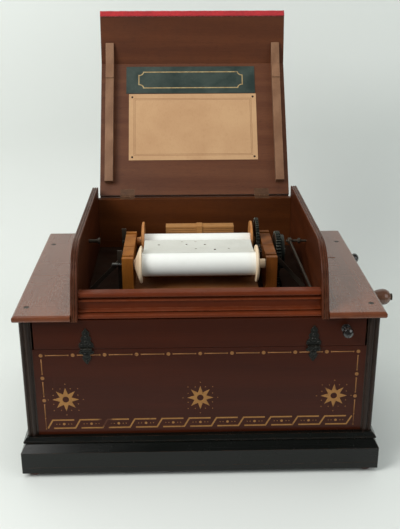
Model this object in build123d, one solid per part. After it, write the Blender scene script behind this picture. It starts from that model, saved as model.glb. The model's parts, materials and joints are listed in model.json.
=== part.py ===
from build123d import *
from math import acos, asin, atan2, copysign, cos, degrees, hypot, pi, radians, sin, sqrt, tan
import os

# Roller organ: a hand cranked paper roll organ in a mahogany case, lid open.
# Millimetres. X to the right, Y from the front panel to the back, Z up.
# While it is built, Y is 0 at the outer face of the front panel and Z is 0 at the
# underside of the base board. The finished part is moved so that its origin is
# the middle of that underside. The four feet reach below it.

# ---- driving dimensions ------------------------------------------------------
# case
case_width = 418.0
case_depth = 291.0
case_height = 195.5
side_thickness = 13.0
panel_thickness = 10.0
seam_height = 158.0
seam_gap = 0.5
flap_end_gap = 2.2
flap_top_bevel = 2.0
pilaster_proud = 3.0
reed_edges = (0.0, 4.2, 4.9, 10.6)
reed_rise = 1.6

# plinth, base and feet
base_thickness = 8.0
plinth_overhang = 7.4
plinth_front_overhang = 18.0
plinth_height = 28.0
plinth_chamfer_rise = 8.0
plinth_chamfer_run = 5.0
plinth_front_chamfer_run = 10.0
bead_height = 7.5
bead_nose = 4.5
bead_depth = 5.0
bead_front_depth = 10.0
foot_radius = 8.0
foot_height = 6.5
foot_seat_depth = 2.0
foot_inset = 13.0
foot_clearance = 0.2

# deck, shelves, cheeks and the boards of the music well
deck_thickness = 8.0
deck_drop = 10.5
deck_front_gap = 2.0
cleat_width = 10.0
shelf_thickness = 8.0
shelf_overhang = 6.6
shelf_front_overhang = 7.8
shelf_nose = 3.0
cheek_inner = 140.5
cheek_thickness = 8.5
cheek_height = 78.0
cheek_foot_front = -7.0
cheek_rake_run = 31.2
cheek_brow_radius = 56.0
cheek_bead_radius = 1.2
cheek_groove_width = 0.8
cheek_groove_depth = 0.9
slot_length = 10.0
slot_width = 2.5
slot_x = 183.4
slot_y = 175.0
screw_head_radius = 3.2
screw_head_depth = 3.0
screw_shank_radius = 1.6
screw_length = 22.0
screw_front_y = 20.0
screw_back_y = 242.0
screw_clearance = 0.15

# lid
lid_half_width = 138.9
lid_thickness = 8.0
lid_main_length = 210.0
lid_front_length = 69.0
lid_kink_angle = 27.1
lid_open_angle = 123.9
lid_nose_y = 10.9
lid_pin_height = 258.3
lid_pin_setback = 2.5
lid_leaf_gap = 0.5
hinge_leaf_thickness = 1.0
hinge_barrel_radius = 2.0
hinge_pin_radius = 1.0
hinge_pin_clearance = 0.05
hinge_width = 21.0
hinge_x = 98.5
hinge_leaf_length = 9.0
batten_inner_x = 119.5
batten_width = 12.0
batten_thickness = 10.5
batten_bracket_thickness = 12.0
batten_tip_thickness = 2.5
batten_back_gap = 19.0
batten_step = 28.0
batten_reach = 31.0
felt_thickness = 2.0
plate_width = 195.0
plate_height = 44.0
plate_thickness = 0.6
plate_centre_x = -3.5
plate_kink_gap = 5.0
card_width = 192.0
card_height = 106.0
card_thickness = 0.5
card_centre_x = -1.0
card_kink_gap = 50.0
tack_radius = 1.6
tack_height = 0.8
tack_inset = 5.0

# swell flap hinges and knob
strap_x = 133.0
strap_width = 17.0
strap_upper = 27.5
strap_lower = 19.5
strap_upper_edge = ((1.0, 0.25), (0.58, 0.40), (0.72, 0.53), (0.42, 0.66), (0.50, 0.79), (0.22, 0.90))
strap_lower_edge = ((1.0, 0.25), (0.36, 0.38), (0.62, 0.55), (0.40, 0.76))
strap_thickness = 1.2
strap_barrel_radius = 2.0
strap_barrel_length = 14.0
strap_barrel_gap = 0.3
flap_knob_x = 170.0
flap_knob_height = 181.0
flap_knob_radius = 6.5
flap_knob_length = 18.0

# spool frames
frame_thickness = 14.0
frame_left_inner = -81.0
frame_right_inner = 85.0
frame_front = 90.0
frame_back = 198.0
frame_rise = 11.5
frame_slot_extra = 137.0
frame_slot_extra_depth = 4.0
bed_thickness = 8.0
bed_margin = 6.0
bed_right_gap = 8.0

# spools, paper and tracker bar
spool_clearance = 5.0
feed_y = 100.0
take_up_y = 188.0
axle_radius = 2.5
axle_clearance = 0.05
feed_axle_left = -108.0
take_up_axle_left = -100.0
paper_left = -70.0
paper_right = 72.0
feed_flange_radius = 23.5
feed_paper_radius = 14.8
feed_core_radius = 8.0
take_up_flange_radius = 27.0
take_up_paper_radius = 10.6
take_up_core_radius = 7.0
flange_thickness = 4.0
hub_radius = 6.0
spool_end_gap = 0.5
tracker_left = -69.0
tracker_right = 71.0
tracker_front = 131.0
tracker_back = 161.0
tracker_rise = 10.5
tracker_cap = 12.0
tracker_neck_inset = 4.0
port_count = 20
port_pitch = 6.0
port_width = 3.2
port_length = 8.0
paper_thickness = 0.25
paper_gap = 0.3

# gear train, all teeth of one module
module = 1.25
pressure_angle = 25.0
tooth_play = 0.3
crank_teeth = 40
idler_teeth = 48
drive_teeth = 41
pinion_teeth = 13
take_up_teeth = 48
gear_plane = 102.0
gear_thickness = 6.0
take_up_gear_left = 79.0
take_up_gear_thickness = 4.0
pinion_overlap = 0.5
countershaft_drop = 3.3
countershaft_radius = 4.0
countershaft_end = 116.0
disc_radius = 22.5
disc_thickness = 4.0
disc_step = 1.0
idler_bore = 5.0
idler_bracket_thickness = 8.0
idler_bracket_width = 22.0
gear_slot_margin = 2.5

# crank
crank_y = 130.0
crank_drop = 108.5
crank_radius = 60.0
crank_rest_angle = 20.0
shaft_radius = 6.0
shaft_clearance = 0.05
throw_radius = 9.0
throw_x = 86.0
pin_radius = 4.0
pin_length = 10.0
web_thickness = 5.0
web_half_width = 8.0
bearing_left_width = 18.0
bearing_width = 26.0
pedestal_thickness = 14.0
bush_radius = 9.0
bush_flange = 2.0
arm_gap = 3.0
arm_thickness = 5.0
arm_hub_radius = 10.0
arm_tip_radius = 7.0
nut_size = 14.0
nut_thickness = 5.0
grip_radius = 10.5
grip_neck_radius = 7.0
grip_length = 32.0
grip_pin_radius = 3.0
grip_pin_head = 4.5
grip_end_play = 0.4

# connecting rods and bellows
rod_length = 43.5
rod_thickness = 7.0
rod_eye = 7.0
rod_foot_eye = 5.0
rod_pin_radius = 2.5
rod_pin_length = 11.0
rod_shank = 7.0
feeder_inner_x = 12.0
feeder_width = 156.0
feeder_front = 37.0
feeder_hinge_y = 237.0
feeder_hinge_height = 20.0
feeder_board = 8.0
feeder_tilt = 10.0
feeder_rail_depth = 10.0
ear_thickness = 4.0
ear_gap = 14.0
ear_length = 24.0
ear_top = 80.0
cloth_thickness = 1.5

# wind chest, reed pan, reservoir and trunk
chest_left = -75.0
chest_right = 77.0
chest_front = 60.0
chest_back = 240.0
chest_height = 25.0
chest_wall = 6.0
pan_height = 12.0
cell_width = 4.4
cell_front = 118.0
cell_back = 182.0
cell_depth = 10.0
reed_width = 4.0
reed_front = 122.0
reed_back = 178.0
reed_thickness = 1.2
reservoir_inset = 3.0
reservoir_front = 160.0
reservoir_hinge_y = 238.0
reservoir_hinge_drop = 2.0
reservoir_board = 6.0
reservoir_tilt = 15.0
trunk_half_width = 30.0
trunk_depth = 28.0
trunk_wall = 6.0

# small fittings in the music well
keeper_width = 6.0
keeper_thickness = 2.0
keeper_top = 242.5
keeper_gap = 0.5
stay_thickness = 4.0
stay_width = 5.0
stay_foot_x = 138.0
stay_foot_height = 187.5
stay_head_height = 231.0
stub_y = 145.0
stub_height = 241.5
stub_radius = 2.2
stub_length = 14.5
stub_nut_radius = 4.0
stub_nut_length = 3.0
rod_y = 132.0
rod_height = 243.5
rod_radius = 1.5
rod_tip_x = 114.5
collar_radius = 3.6
collar_length = 3.0
collar_gap = 8.0
strut_head_x = 119.0
strut_foot_y = 54.0
strut_foot_height = 199.0
strut_thickness = 2.0
strut_width = 4.5
strut_eye_radius = 4.0
rear_block_left = -42.0
rear_block_right = 53.0
rear_block_front = 222.0
rear_block_back = 238.0
rear_block_top = 234.5
rear_block_layers = 5
rear_block_layer = 3.0
rear_block_groove = 0.8
clip_centre_x = 5.0
clip_width = 8.0
clip_thickness = 1.0
clip_drop = 16.0

# stop knob on the right side
stop_y = 214.0
stop_height = 187.8
stop_rod_radius = 2.5
stop_rod_clearance = 0.05
stop_rod_inner = 152.0
stop_neck_radius = 3.8
stop_neck_length = 10.0
stop_knob_radius = 7.2
stop_knob_length = 10.0

# ---- places that follow from them --------------------------------------------
half_width = case_width / 2
inner_half = half_width - side_thickness
deck_top = case_height - deck_drop
deck_bottom = deck_top - deck_thickness
shelf_top = case_height + shelf_thickness
cheek_outer = cheek_inner + cheek_thickness
cheek_top = case_height + cheek_height
lid_pin_y = case_depth + lid_pin_setback
lid_face = lid_pin_height + lid_leaf_gap
kink_y = case_depth - lid_main_length
back_board_top = lid_pin_height - lid_leaf_gap
frame_left_outer = frame_left_inner - frame_thickness
frame_right_outer = frame_right_inner + frame_thickness
bed_top = deck_top + bed_thickness
spool_height = bed_top + take_up_flange_radius + spool_clearance
frame_top = spool_height + frame_rise
tracker_top = spool_height + tracker_rise
crank_height = spool_height - crank_drop
pan_bottom = deck_bottom - pan_height
chest_bottom = pan_bottom - chest_height
port_y = (tracker_front + tracker_back) / 2
port_first = (tracker_left + tracker_right - (port_count - 1) * port_pitch) / 2
take_up_pitch = module * take_up_teeth / 2
countershaft_distance = module * (take_up_teeth + pinion_teeth) / 2
countershaft_y = take_up_y - countershaft_distance * cos(radians(countershaft_drop))
countershaft_height = spool_height - countershaft_distance * sin(radians(countershaft_drop))
arm_left = half_width + arm_gap
grip_y = crank_y - crank_radius * sin(radians(crank_rest_angle))
grip_height = crank_height + crank_radius * cos(radians(crank_rest_angle))
feeder_length = feeder_hinge_y - feeder_front
reservoir_hinge_height = chest_bottom - reservoir_hinge_drop


def idler_centre():
    """Third corner of the triangle that the idler makes with the two shafts it joins."""
    to_crank = module * (crank_teeth + idler_teeth) / 2
    to_drive = module * (idler_teeth + drive_teeth) / 2
    dy = countershaft_y - crank_y
    dz = countershaft_height - crank_height
    span = sqrt(dy * dy + dz * dz)
    along = (span**2 + to_crank**2 - to_drive**2) / (2 * span)
    aside = sqrt(max(to_crank**2 - along**2, 0))
    return (
        crank_y + along * dy / span + aside * dz / span,
        crank_height + along * dz / span - aside * dy / span,
    )


idler_y, idler_height = idler_centre()


# ---- helpers ------------------------------------------------------------------
def slab(x, y, z):
    """Rectangular block between the two ends given for each axis."""
    block = Box(x[1] - x[0], y[1] - y[0], z[1] - z[0], align=(Align.MIN, Align.MIN, Align.MIN))
    return Pos(x[0], y[0], z[0]) * block


def carried(x, face):
    """Flat face drawn in (Y, Z), carried from x[0] to x[1]."""
    return extrude(Plane.YZ.offset(x[0]) * face, x[1] - x[0])


def prism(x, outline):
    """Closed outline of (Y, Z) points, carried from x[0] to x[1]."""
    return carried(x, make_face(Polyline(*outline, close=True)))


def turned(outline, y, z):
    """Solid of revolution about an axis along X: outline of (X, radius) points."""
    face = make_face(Polyline(*outline, close=True))
    return Pos(0, y, z) * revolve(face, Axis.X)


def rod(x, radius, y, z):
    """Round bar along X."""
    return turned([(x[0], 0), (x[1], 0), (x[1], radius), (x[0], radius)], y, z)


def tube(x, inner, outer, y, z):
    """Hollow round bar along X."""
    return turned([(x[0], inner), (x[1], inner), (x[1], outer), (x[0], outer)], y, z)


def turn_about(shape, y, z, angle):
    """Shape turned about an axis along X by an angle in degrees."""
    return Pos(0, y, z) * Rot(angle, 0, 0) * Pos(0, -y, -z) * shape


def mirrored(shape):
    """Copy of a shape on the other side of the middle."""
    return mirror(shape, Plane.YZ)


def lid_opened(shape):
    """Lid piece, drawn with the lid shut, turned back to its open place."""
    return turn_about(shape, lid_pin_y, lid_pin_height, -lid_open_angle)


def solids_of(shapes):
    """Flat list of the solids in a list of shapes."""
    found = []
    for shape in shapes:
        found.extend(shape.solids())
    return found


def save(name, *shapes):
    """Write one node, moved so that the origin is the middle of the underside."""
    node = Compound(children=solids_of(shapes))
    export_step(Pos(0, -case_depth / 2, 0) * node, f"parts/{name}.step")


# ---- gears --------------------------------------------------------------------
def involute(angle):
    """Involute function of an angle in radians."""
    return tan(angle) - angle


def gear_points(teeth, phase, flank_steps=4):
    """Closed outline of a spur gear: involute flanges on straight roots, phase in degrees."""
    pitch = module * teeth / 2
    base = pitch * cos(radians(pressure_angle))
    tip = pitch + module
    root = pitch - 1.25 * module
    half_tooth = pi / (2 * teeth) - tooth_play / (4 * pitch) + involute(radians(pressure_angle))
    low = max(base, root)
    flank = []
    for step in range(flank_steps + 1):
        radius = low + (tip - low) * step / flank_steps
        flank.append((radius, half_tooth - involute(acos(min(1, base / radius)))))
    points = []
    for tooth in range(teeth):
        centre = radians(phase) + 2 * pi * tooth / teeth
        side = [(root, half_tooth)] + flank if root < base - 0.05 else flank
        for radius, angle in side:
            points.append((radius * cos(centre - angle), radius * sin(centre - angle)))
        for radius, angle in reversed(side):
            points.append((radius * cos(centre + angle), radius * sin(centre + angle)))
    return points


def gear(x, teeth, phase, y, z):
    """Spur gear between two X places, its tooth 0 at the phase angle from +Y towards +Z."""
    blank = prism(x, gear_points(teeth, phase))
    return Pos(0, y, z) * blank


def meshed_phase(teeth_a, phase_a, centre_a, teeth_b, centre_b):
    """Phase that puts a gap of gear b where gear a has a tooth on the line of centres."""
    line = degrees(atan2(centre_b[1] - centre_a[1], centre_b[0] - centre_a[0]))
    pitch_a = 360 / teeth_a
    pitch_b = 360 / teeth_b
    return line + 180 + pitch_b * (0.5 - (phase_a - line) / pitch_a)


crank_centre = (crank_y, crank_height)
idler_place = (idler_y, idler_height)
countershaft_centre = (countershaft_y, countershaft_height)
take_up_centre = (take_up_y, spool_height)
idler_phase = meshed_phase(crank_teeth, 0, crank_centre, idler_teeth, idler_place)
drive_phase = meshed_phase(idler_teeth, idler_phase, idler_place, drive_teeth, countershaft_centre)
take_up_phase = meshed_phase(pinion_teeth, 0, countershaft_centre, take_up_teeth, take_up_centre)


# ---- case ---------------------------------------------------------------------
def foot_places():
    """Middles of the four feet."""
    x = half_width + plinth_overhang - foot_inset
    rows = foot_inset - plinth_front_overhang, case_depth - foot_inset
    return [(side * x, y) for side in (-1, 1) for y in rows]


def base_board():
    """Full footprint board that also makes the lowest band of the plinth."""
    edge = half_width + plinth_overhang
    board = slab((-edge, edge), (-plinth_front_overhang, case_depth), (0, base_thickness))
    for x, y in foot_places():
        seat = Cylinder(
            foot_radius + foot_clearance, foot_seat_depth, align=(Align.CENTER, Align.CENTER, Align.MIN))
        board -= Pos(x, y, 0) * seat
    return board


def feet():
    """Turned button feet, let into seats in the base board."""
    shapes = []
    waist = foot_radius - 1.5
    for x, y in foot_places():
        outline = Polyline(
            (0, -foot_height), (waist, -foot_height), (foot_radius, -foot_height + 2.0),
            (foot_radius, foot_seat_depth), (0, foot_seat_depth), close=True,
        )
        shapes.append(Pos(x, y, 0) * revolve(Plane.XZ * make_face(outline), Axis.Z))
    return shapes


def plinth_rail_outline(outer, inner, run):
    """Section of a plinth rail with its chamfered top: (out, Z) points."""
    top = plinth_height + plinth_chamfer_rise
    return [
        (outer, base_thickness), (outer, plinth_height), (outer + run, top), (inner, top),
        (inner, base_thickness)]


def bead_outline(outer, inner):
    """Section of the bead on a plinth rail: a round nose under a slope: (out, Z) points."""
    low = plinth_height + plinth_chamfer_rise
    sense = 1 if inner > outer else -1
    nose = bead_nose / 2
    points = [(inner, low)]
    for step in range(6):
        angle = -pi / 2 + pi * step / 6
        points.append((outer + sense * nose * (1 - cos(angle)), low + nose + nose * sin(angle)))
    points.append((outer + sense * (bead_depth - 1), low + bead_height))
    points.append((inner, low + bead_height))
    return points


def mitred_frame(front_outline, side_outline):
    """Front rail and two side rails of one moulding, clear of the reeded edges of the side boards."""
    edge = half_width + plinth_overhang
    tall = case_height
    cut = slab((inner_half, half_width), (-pilaster_proud, case_depth), (base_thickness, tall))
    front = prism((-edge, edge), front_outline)
    side = extrude(Plane.XZ * make_face(Polyline(*side_outline, close=True)), -case_depth)
    wedge = extrude(Plane.XZ * make_face(Polyline(*side_outline, close=True)), plinth_front_overhang)
    front -= slab((-edge, edge), (0, plinth_front_overhang), (0, tall))
    front -= cut
    front -= mirrored(cut)
    keep = Box(2 * edge, plinth_front_overhang, tall, align=(Align.CENTER, Align.MAX, Align.MIN))
    span = slab((-half_width, half_width), (-plinth_front_overhang, 0), (0, tall)) + wedge + mirrored(wedge)
    front = front & span & keep
    return [front, side, mirrored(side)]


def plinth_rails():
    """Front rail and two side rails, with the bead that stands on each."""
    edge = half_width + plinth_overhang
    rails = mitred_frame(
        plinth_rail_outline(-plinth_front_overhang, 0, plinth_front_chamfer_run),
        plinth_rail_outline(edge, half_width, -plinth_chamfer_run),
    )
    beads = mitred_frame(
        bead_outline(-bead_front_depth, 0), bead_outline(half_width + bead_depth, half_width))
    return rails + beads


def reeded_edge():
    """Plan of a side board: a small and a large reed on its front edge, then a step: (X, Y) points."""
    points = [(half_width, case_depth)]
    for low, high in zip(reed_edges[::2], reed_edges[1::2]):
        for step in range(7):
            share = step / 6
            x = half_width - low - (high - low) * share
            points.append((x, -pilaster_proud + reed_rise * (1 - sin(pi * share))))
    points.append((half_width - reed_edges[-1], 0))
    points.append((inner_half, 0))
    points.append((inner_half, case_depth))
    return points


def side_panel(right):
    """Side board whose front edge stands proud and carries upright reeds."""
    plan = Plane.XY.offset(base_thickness) * make_face(Polyline(*reeded_edge(), close=True))
    panel = extrude(plan, case_height - base_thickness)
    for y in (screw_front_y, screw_back_y):
        hole = Cylinder(screw_shank_radius + screw_clearance, screw_length)
        panel -= Pos(inner_half + side_thickness / 2, y, case_height) * hole
    if right:
        panel -= rod((inner_half - 1, half_width + 1), bush_radius, crank_y, crank_height)
        panel -= rod(
            (inner_half - 1, half_width + 1), stop_rod_radius + stop_rod_clearance, stop_y, stop_height)
        return panel
    return mirrored(panel)


def front_panel():
    """Lower front board, under the swell flap."""
    return slab(
        (-inner_half, inner_half), (0, panel_thickness), (base_thickness, seam_height - seam_gap / 2))


def back_panel():
    """Back board of the lower case."""
    back = case_depth - panel_thickness
    return slab((-inner_half, inner_half), (back, case_depth), (base_thickness, case_height))


def deck_board():
    """Board that carries the mechanism, with the tone ports and the slot for the idler gear."""
    front = panel_thickness + deck_front_gap
    board = slab((-inner_half, inner_half), (front, case_depth - panel_thickness), (deck_bottom, deck_top))
    reach = module * idler_teeth / 2 + module + gear_slot_margin
    board -= slab(
        (gear_plane - gear_slot_margin, gear_plane + gear_thickness + gear_slot_margin),
        (idler_y - reach, idler_y + reach), (deck_bottom - 1, deck_top + 1),
    )
    for port in port_cutters(deck_bottom - 1, deck_top + 1):
        board -= port
    return board


def deck_cleats():
    """Two strips on the side boards that the deck lies on."""
    strip = slab(
        (inner_half - cleat_width, inner_half),
        (panel_thickness + deck_front_gap, case_depth - panel_thickness),
        (deck_bottom - cleat_width, deck_bottom),
    )
    return [strip, mirrored(strip)]


def shelf(right):
    """Top board beside the music well, its free edges rounded over."""
    outer = half_width + shelf_overhang
    board = slab((cheek_outer, outer), (-shelf_front_overhang, case_depth), (case_height, shelf_top))
    edges = board.edges().filter_by(Axis.Y).group_by(Axis.X)[-1]
    edges += board.edges().filter_by(Axis.X).group_by(Axis.Y)[0]
    board = fillet(edges, shelf_nose)
    for y in (screw_front_y, screw_back_y):
        board -= screw(inner_half + side_thickness / 2, y, screw_clearance)
    if right:
        half = slot_length / 2
        board -= slab(
            (slot_x - half, slot_x + half), (slot_y - slot_width / 2, slot_y + slot_width / 2),
            (case_height - 1, shelf_top + 1),
        )
        return board
    return mirrored(board)


def screw(x, y, extra=0.0):
    """Countersunk screw, its head flush with the shelf; extra makes its hole."""
    head = screw_head_radius + extra
    shank = screw_shank_radius + extra
    lower = shelf_top - screw_head_depth
    outline = Polyline(
        (0, shelf_top), (head, shelf_top), (head, shelf_top - 0.8), (shank, lower),
        (shank, shelf_top - screw_length / 2 - extra), (0, shelf_top - screw_length / 2 - extra),
        close=True,
    )
    return Pos(x, y, 0) * revolve(Plane.XZ * make_face(outline), Axis.Z)


def shelf_screws():
    """Four screws that hold the shelves to the side boards."""
    x = inner_half + side_thickness / 2
    return [screw(side * x, y) for side in (-1, 1) for y in (screw_front_y, screw_back_y)]


def cheek(right):
    """Side of the music well: raked front, round brow and flat top, with a beaded edge."""
    back = case_depth
    bead = cheek_bead_radius
    notch = back - panel_thickness
    tongue = panel_thickness + deck_front_gap
    brow = (cheek_foot_front + cheek_rake_run, cheek_top)
    profile = make_face(Polyline(
        (cheek_foot_front, case_height), brow, (back, cheek_top), (back, case_height), (notch, case_height),
        (notch, deck_top), (tongue, deck_top), (tongue, case_height), close=True,
    ))
    profile = fillet(profile.vertices().sort_by_distance(brow)[0], cheek_brow_radius)
    panel = carried((cheek_inner, cheek_outer), profile)
    core = offset(profile, -cheek_groove_depth)
    third = cheek_thickness / 3
    for share in (1, 2):
        middle = cheek_inner + share * third
        span = (middle - cheek_groove_width / 2, middle + cheek_groove_width / 2)
        ring = carried(span, profile) - carried(span, core)
        panel -= ring - slab(span, (cheek_foot_front - 1, case_depth + 1), (0, case_height))
    for x in (cheek_inner, cheek_outer):
        rims = panel.edges().filter_by(lambda e: e.center().Z > case_height + 1 and e.center().Y < back - 1)
        rims = rims.filter_by_position(Axis.X, x - 0.01, x + 0.01)
        panel = fillet(rims, bead)
    if right:
        return panel
    return mirrored(panel)


def box_back():
    """Upper back board that carries the lid, with seats for the hinge leaves."""
    back = case_depth - panel_thickness
    board = slab((-cheek_inner, cheek_inner), (back, case_depth), (case_height, back_board_top))
    seat_low = back_board_top - hinge_leaf_thickness
    for side in (-1, 1):
        x = side * hinge_x
        board -= slab(
            (x - hinge_width / 2, x + hinge_width / 2), (case_depth - hinge_leaf_length, case_depth + 1),
            (seat_low, back_board_top + 1),
        )
    return board


def sill_rail():
    """Moulded front rail of the music well, from the deck to the rounded top."""
    back = 20.0
    tongue = panel_thickness + deck_front_gap
    top = 225.0
    moulding = [
        (back, deck_top), (back, top), (11.5, top), (9.4, 224.3), (8.4, 222.6), (8.2, 221.0), (8.7, 219.6),
        (10.3, 218.5), (13.0, 218.3), (13.0, 216.4), (7.5, 216.2), (7.2, 215.2), (7.6, 214.3),
        (10.5, 213.6),
        (10.5, 205.0), (6.2, 203.4), (5.9, 202.6), (6.3, 201.9), (8.0, 201.6), (8.0, 200.9), (1.4, 200.6),
        (0.5, 199.7), (0.2, 198.2), (0.6, 196.6), (1.6, case_height), (tongue, case_height),
        (tongue, deck_top),
    ]
    return prism((-cheek_inner, cheek_inner), moulding)


# ---- swell flap ---------------------------------------------------------------
def swell_flap():
    """Upper front board that drops forward, its top bevelled at the back to swing clear."""
    end = inner_half - flap_end_gap
    low = seam_height + seam_gap / 2
    top = case_height - seam_gap
    outline = [
        (0, low), (0, top), (1, top), (panel_thickness, top - flap_top_bevel), (panel_thickness, low)]
    return prism((-end, end), outline)


def flap_knob():
    """Turned knob on the flap."""
    r = flap_knob_radius
    length = flap_knob_length
    outline = [
        (0, 0), (0, r * 0.8), (1.5, r * 0.85), (2.5, r * 0.45), (length * 0.45, r * 0.4),
        (length * 0.55, r * 0.8),
        (length * 0.72, r), (length * 0.88, r * 0.85), (length * 0.97, r * 0.45), (length, 0),
    ]
    knob = turned(outline, 0, 0)
    return Pos(flap_knob_x, 0, flap_knob_height) * Rot(0, 0, -90) * knob


def strap_leaf(reach, edge):
    """Ornate hinge leaf on the front, waisted between its lobes, that ends in a point.

    Positive reach goes up.
    Each corner of its edge is a share of the half width and of the reach.
    """
    start = seam_height + copysign(strap_barrel_radius + strap_barrel_gap, reach)
    half = strap_width / 2
    right_side = [(half, start)] + [(half * out, seam_height + reach * along) for out, along in edge]
    tip = (0, seam_height + reach)
    left_side = [(-x, z) for x, z in reversed(right_side)]
    face = make_face(Polyline(*right_side, tip, *left_side, close=True))
    leaf = extrude(Plane.XZ * face, strap_thickness)
    web = slab(
        (-strap_barrel_length / 2, strap_barrel_length / 2), (-strap_thickness, 0),
        (min(seam_height, start), max(seam_height, start)),
    )
    return leaf + web


def strap_barrel(low, high):
    """Part of a strap hinge's barrel, with the hole for its pin."""
    bore = hinge_pin_radius + hinge_pin_clearance
    return tube((low, high), bore, strap_barrel_radius, -strap_barrel_radius, seam_height)


def strap_hinges():
    """Two strap hinges: case leaves with pins, and flap leaves."""
    half = strap_barrel_length / 2
    third = strap_barrel_length / 6
    gap = 0.2
    room = strap_barrel_radius + gap
    clear = slab((-third - gap, third + gap), (-2 * room, 0), (seam_height - room, seam_height + room))
    case_leaf = strap_leaf(-strap_lower, strap_lower_edge) + strap_barrel(-half, half)
    case_leaf -= clear
    case_leaf -= rod(
        (-half, half), hinge_pin_radius + hinge_pin_clearance, -strap_barrel_radius, seam_height)
    flap_leaf = strap_leaf(strap_upper, strap_upper_edge)
    for side in (-1, 1):
        ends = sorted((side * third, side * (half + gap)))
        flap_leaf -= slab(ends, (-10, 0), (seam_height - 10, seam_height + strap_barrel_radius + gap))
    flap_leaf += strap_barrel(-third, third)
    flap_leaf -= rod(
        (-third, third), hinge_pin_radius + hinge_pin_clearance, -strap_barrel_radius, seam_height)
    pin = rod((-half, half), hinge_pin_radius, -strap_barrel_radius, seam_height)
    case_side = []
    flap_side = []
    for side in (-1, 1):
        case_side += [Pos(side * strap_x, 0, 0) * case_leaf, Pos(side * strap_x, 0, 0) * pin]
        flap_side.append(Pos(side * strap_x, 0, 0) * flap_leaf)
    return case_side, flap_side


# ---- lid ----------------------------------------------------------------------
kink_slope = (-cos(radians(lid_kink_angle)), -sin(radians(lid_kink_angle)))
kink_normal = (-sin(radians(lid_kink_angle)), cos(radians(lid_kink_angle)))
mitre = lid_thickness * tan(radians(lid_kink_angle / 2))


def on_front_board(along, off):
    """Point by its distance past the kink along the front board's inner face and off that face."""
    return (
        kink_y + kink_slope[0] * along + kink_normal[0] * off,
        lid_face + kink_slope[1] * along + kink_normal[1] * off,
    )


lid_seat = on_front_board(lid_front_length, 0)
nose_along = (kink_y + kink_normal[0] * lid_thickness - lid_nose_y) / -kink_slope[0]
lid_nose = on_front_board(nose_along, lid_thickness)


def lid_main_board():
    """Flat rear board of the lid, mitred where it meets the front board, with hinge seats."""
    outline = [
        (case_depth, lid_face), (case_depth, lid_face + lid_thickness),
        (kink_y - mitre, lid_face + lid_thickness), (kink_y, lid_face),
    ]
    board = prism((-lid_half_width, lid_half_width), outline)
    for side in (-1, 1):
        x = side * hinge_x
        board -= slab(
            (x - hinge_width / 2, x + hinge_width / 2), (case_depth - hinge_leaf_length, case_depth + 1),
            (lid_face - 1, lid_face + hinge_leaf_thickness),
        )
    return lid_opened(board)


def lid_front_board():
    """Sloping front board of the lid, cut level and plumb at its free end."""
    outline = [
        (kink_y, lid_face), (kink_y - mitre, lid_face + lid_thickness), lid_nose,
        (lid_nose_y, lid_seat[1]), lid_seat]
    return lid_opened(prism((-lid_half_width, lid_half_width), outline))


def lid_battens():
    """Two battens that hold the lid boards together, thicker where they turn the corner."""
    outline = [
        (case_depth - batten_back_gap, lid_face),
        (case_depth - batten_back_gap, lid_face - batten_thickness),
        (kink_y + batten_step, lid_face - batten_thickness),
        (kink_y + batten_step, lid_face - batten_bracket_thickness),
        on_front_board(0, -batten_bracket_thickness), on_front_board(batten_reach, -batten_tip_thickness),
        on_front_board(batten_reach, 0), (kink_y, lid_face),
    ]
    batten = lid_opened(prism((batten_inner_x, batten_inner_x + batten_width), outline))
    return [batten, mirrored(batten)]


def lid_felt():
    """Felt strip on the seat that meets the sill when the lid is shut."""
    low = lid_seat[1] - felt_thickness
    return lid_opened(
        slab((-lid_half_width, lid_half_width), (lid_nose_y, lid_seat[0]), (low, lid_seat[1])))


def name_plate():
    """Blank plate under the kink of the lid."""
    front = kink_y + plate_kink_gap
    half = plate_width / 2
    sheet = slab(
        (plate_centre_x - half, plate_centre_x + half), (front, front + plate_height),
        (lid_face - plate_thickness, lid_face),
    )
    return lid_opened(sheet)


def lid_card():
    """Card tacked to the inside of the lid."""
    front = kink_y + card_kink_gap
    half = card_width / 2
    sheet = slab(
        (card_centre_x - half, card_centre_x + half), (front, front + card_height),
        (lid_face - card_thickness, lid_face),
    )
    return lid_opened(sheet)


def card_tacks():
    """Round headed tacks in the corners of the card."""
    tacks = []
    face = lid_face - card_thickness
    for sx in (-1, 1):
        for y in (kink_y + card_kink_gap + tack_inset, kink_y + card_kink_gap + card_height - tack_inset):
            x = card_centre_x + sx * (card_width / 2 - tack_inset)
            outline = Polyline(
                (0, face), (tack_radius, face), (tack_radius * 0.7, face - tack_height * 0.75),
                (0, face - tack_height),
                close=True,
            )
            tacks.append(lid_opened(Pos(x, y, 0) * revolve(Plane.XZ * make_face(outline), Axis.Z)))
    return tacks


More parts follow.
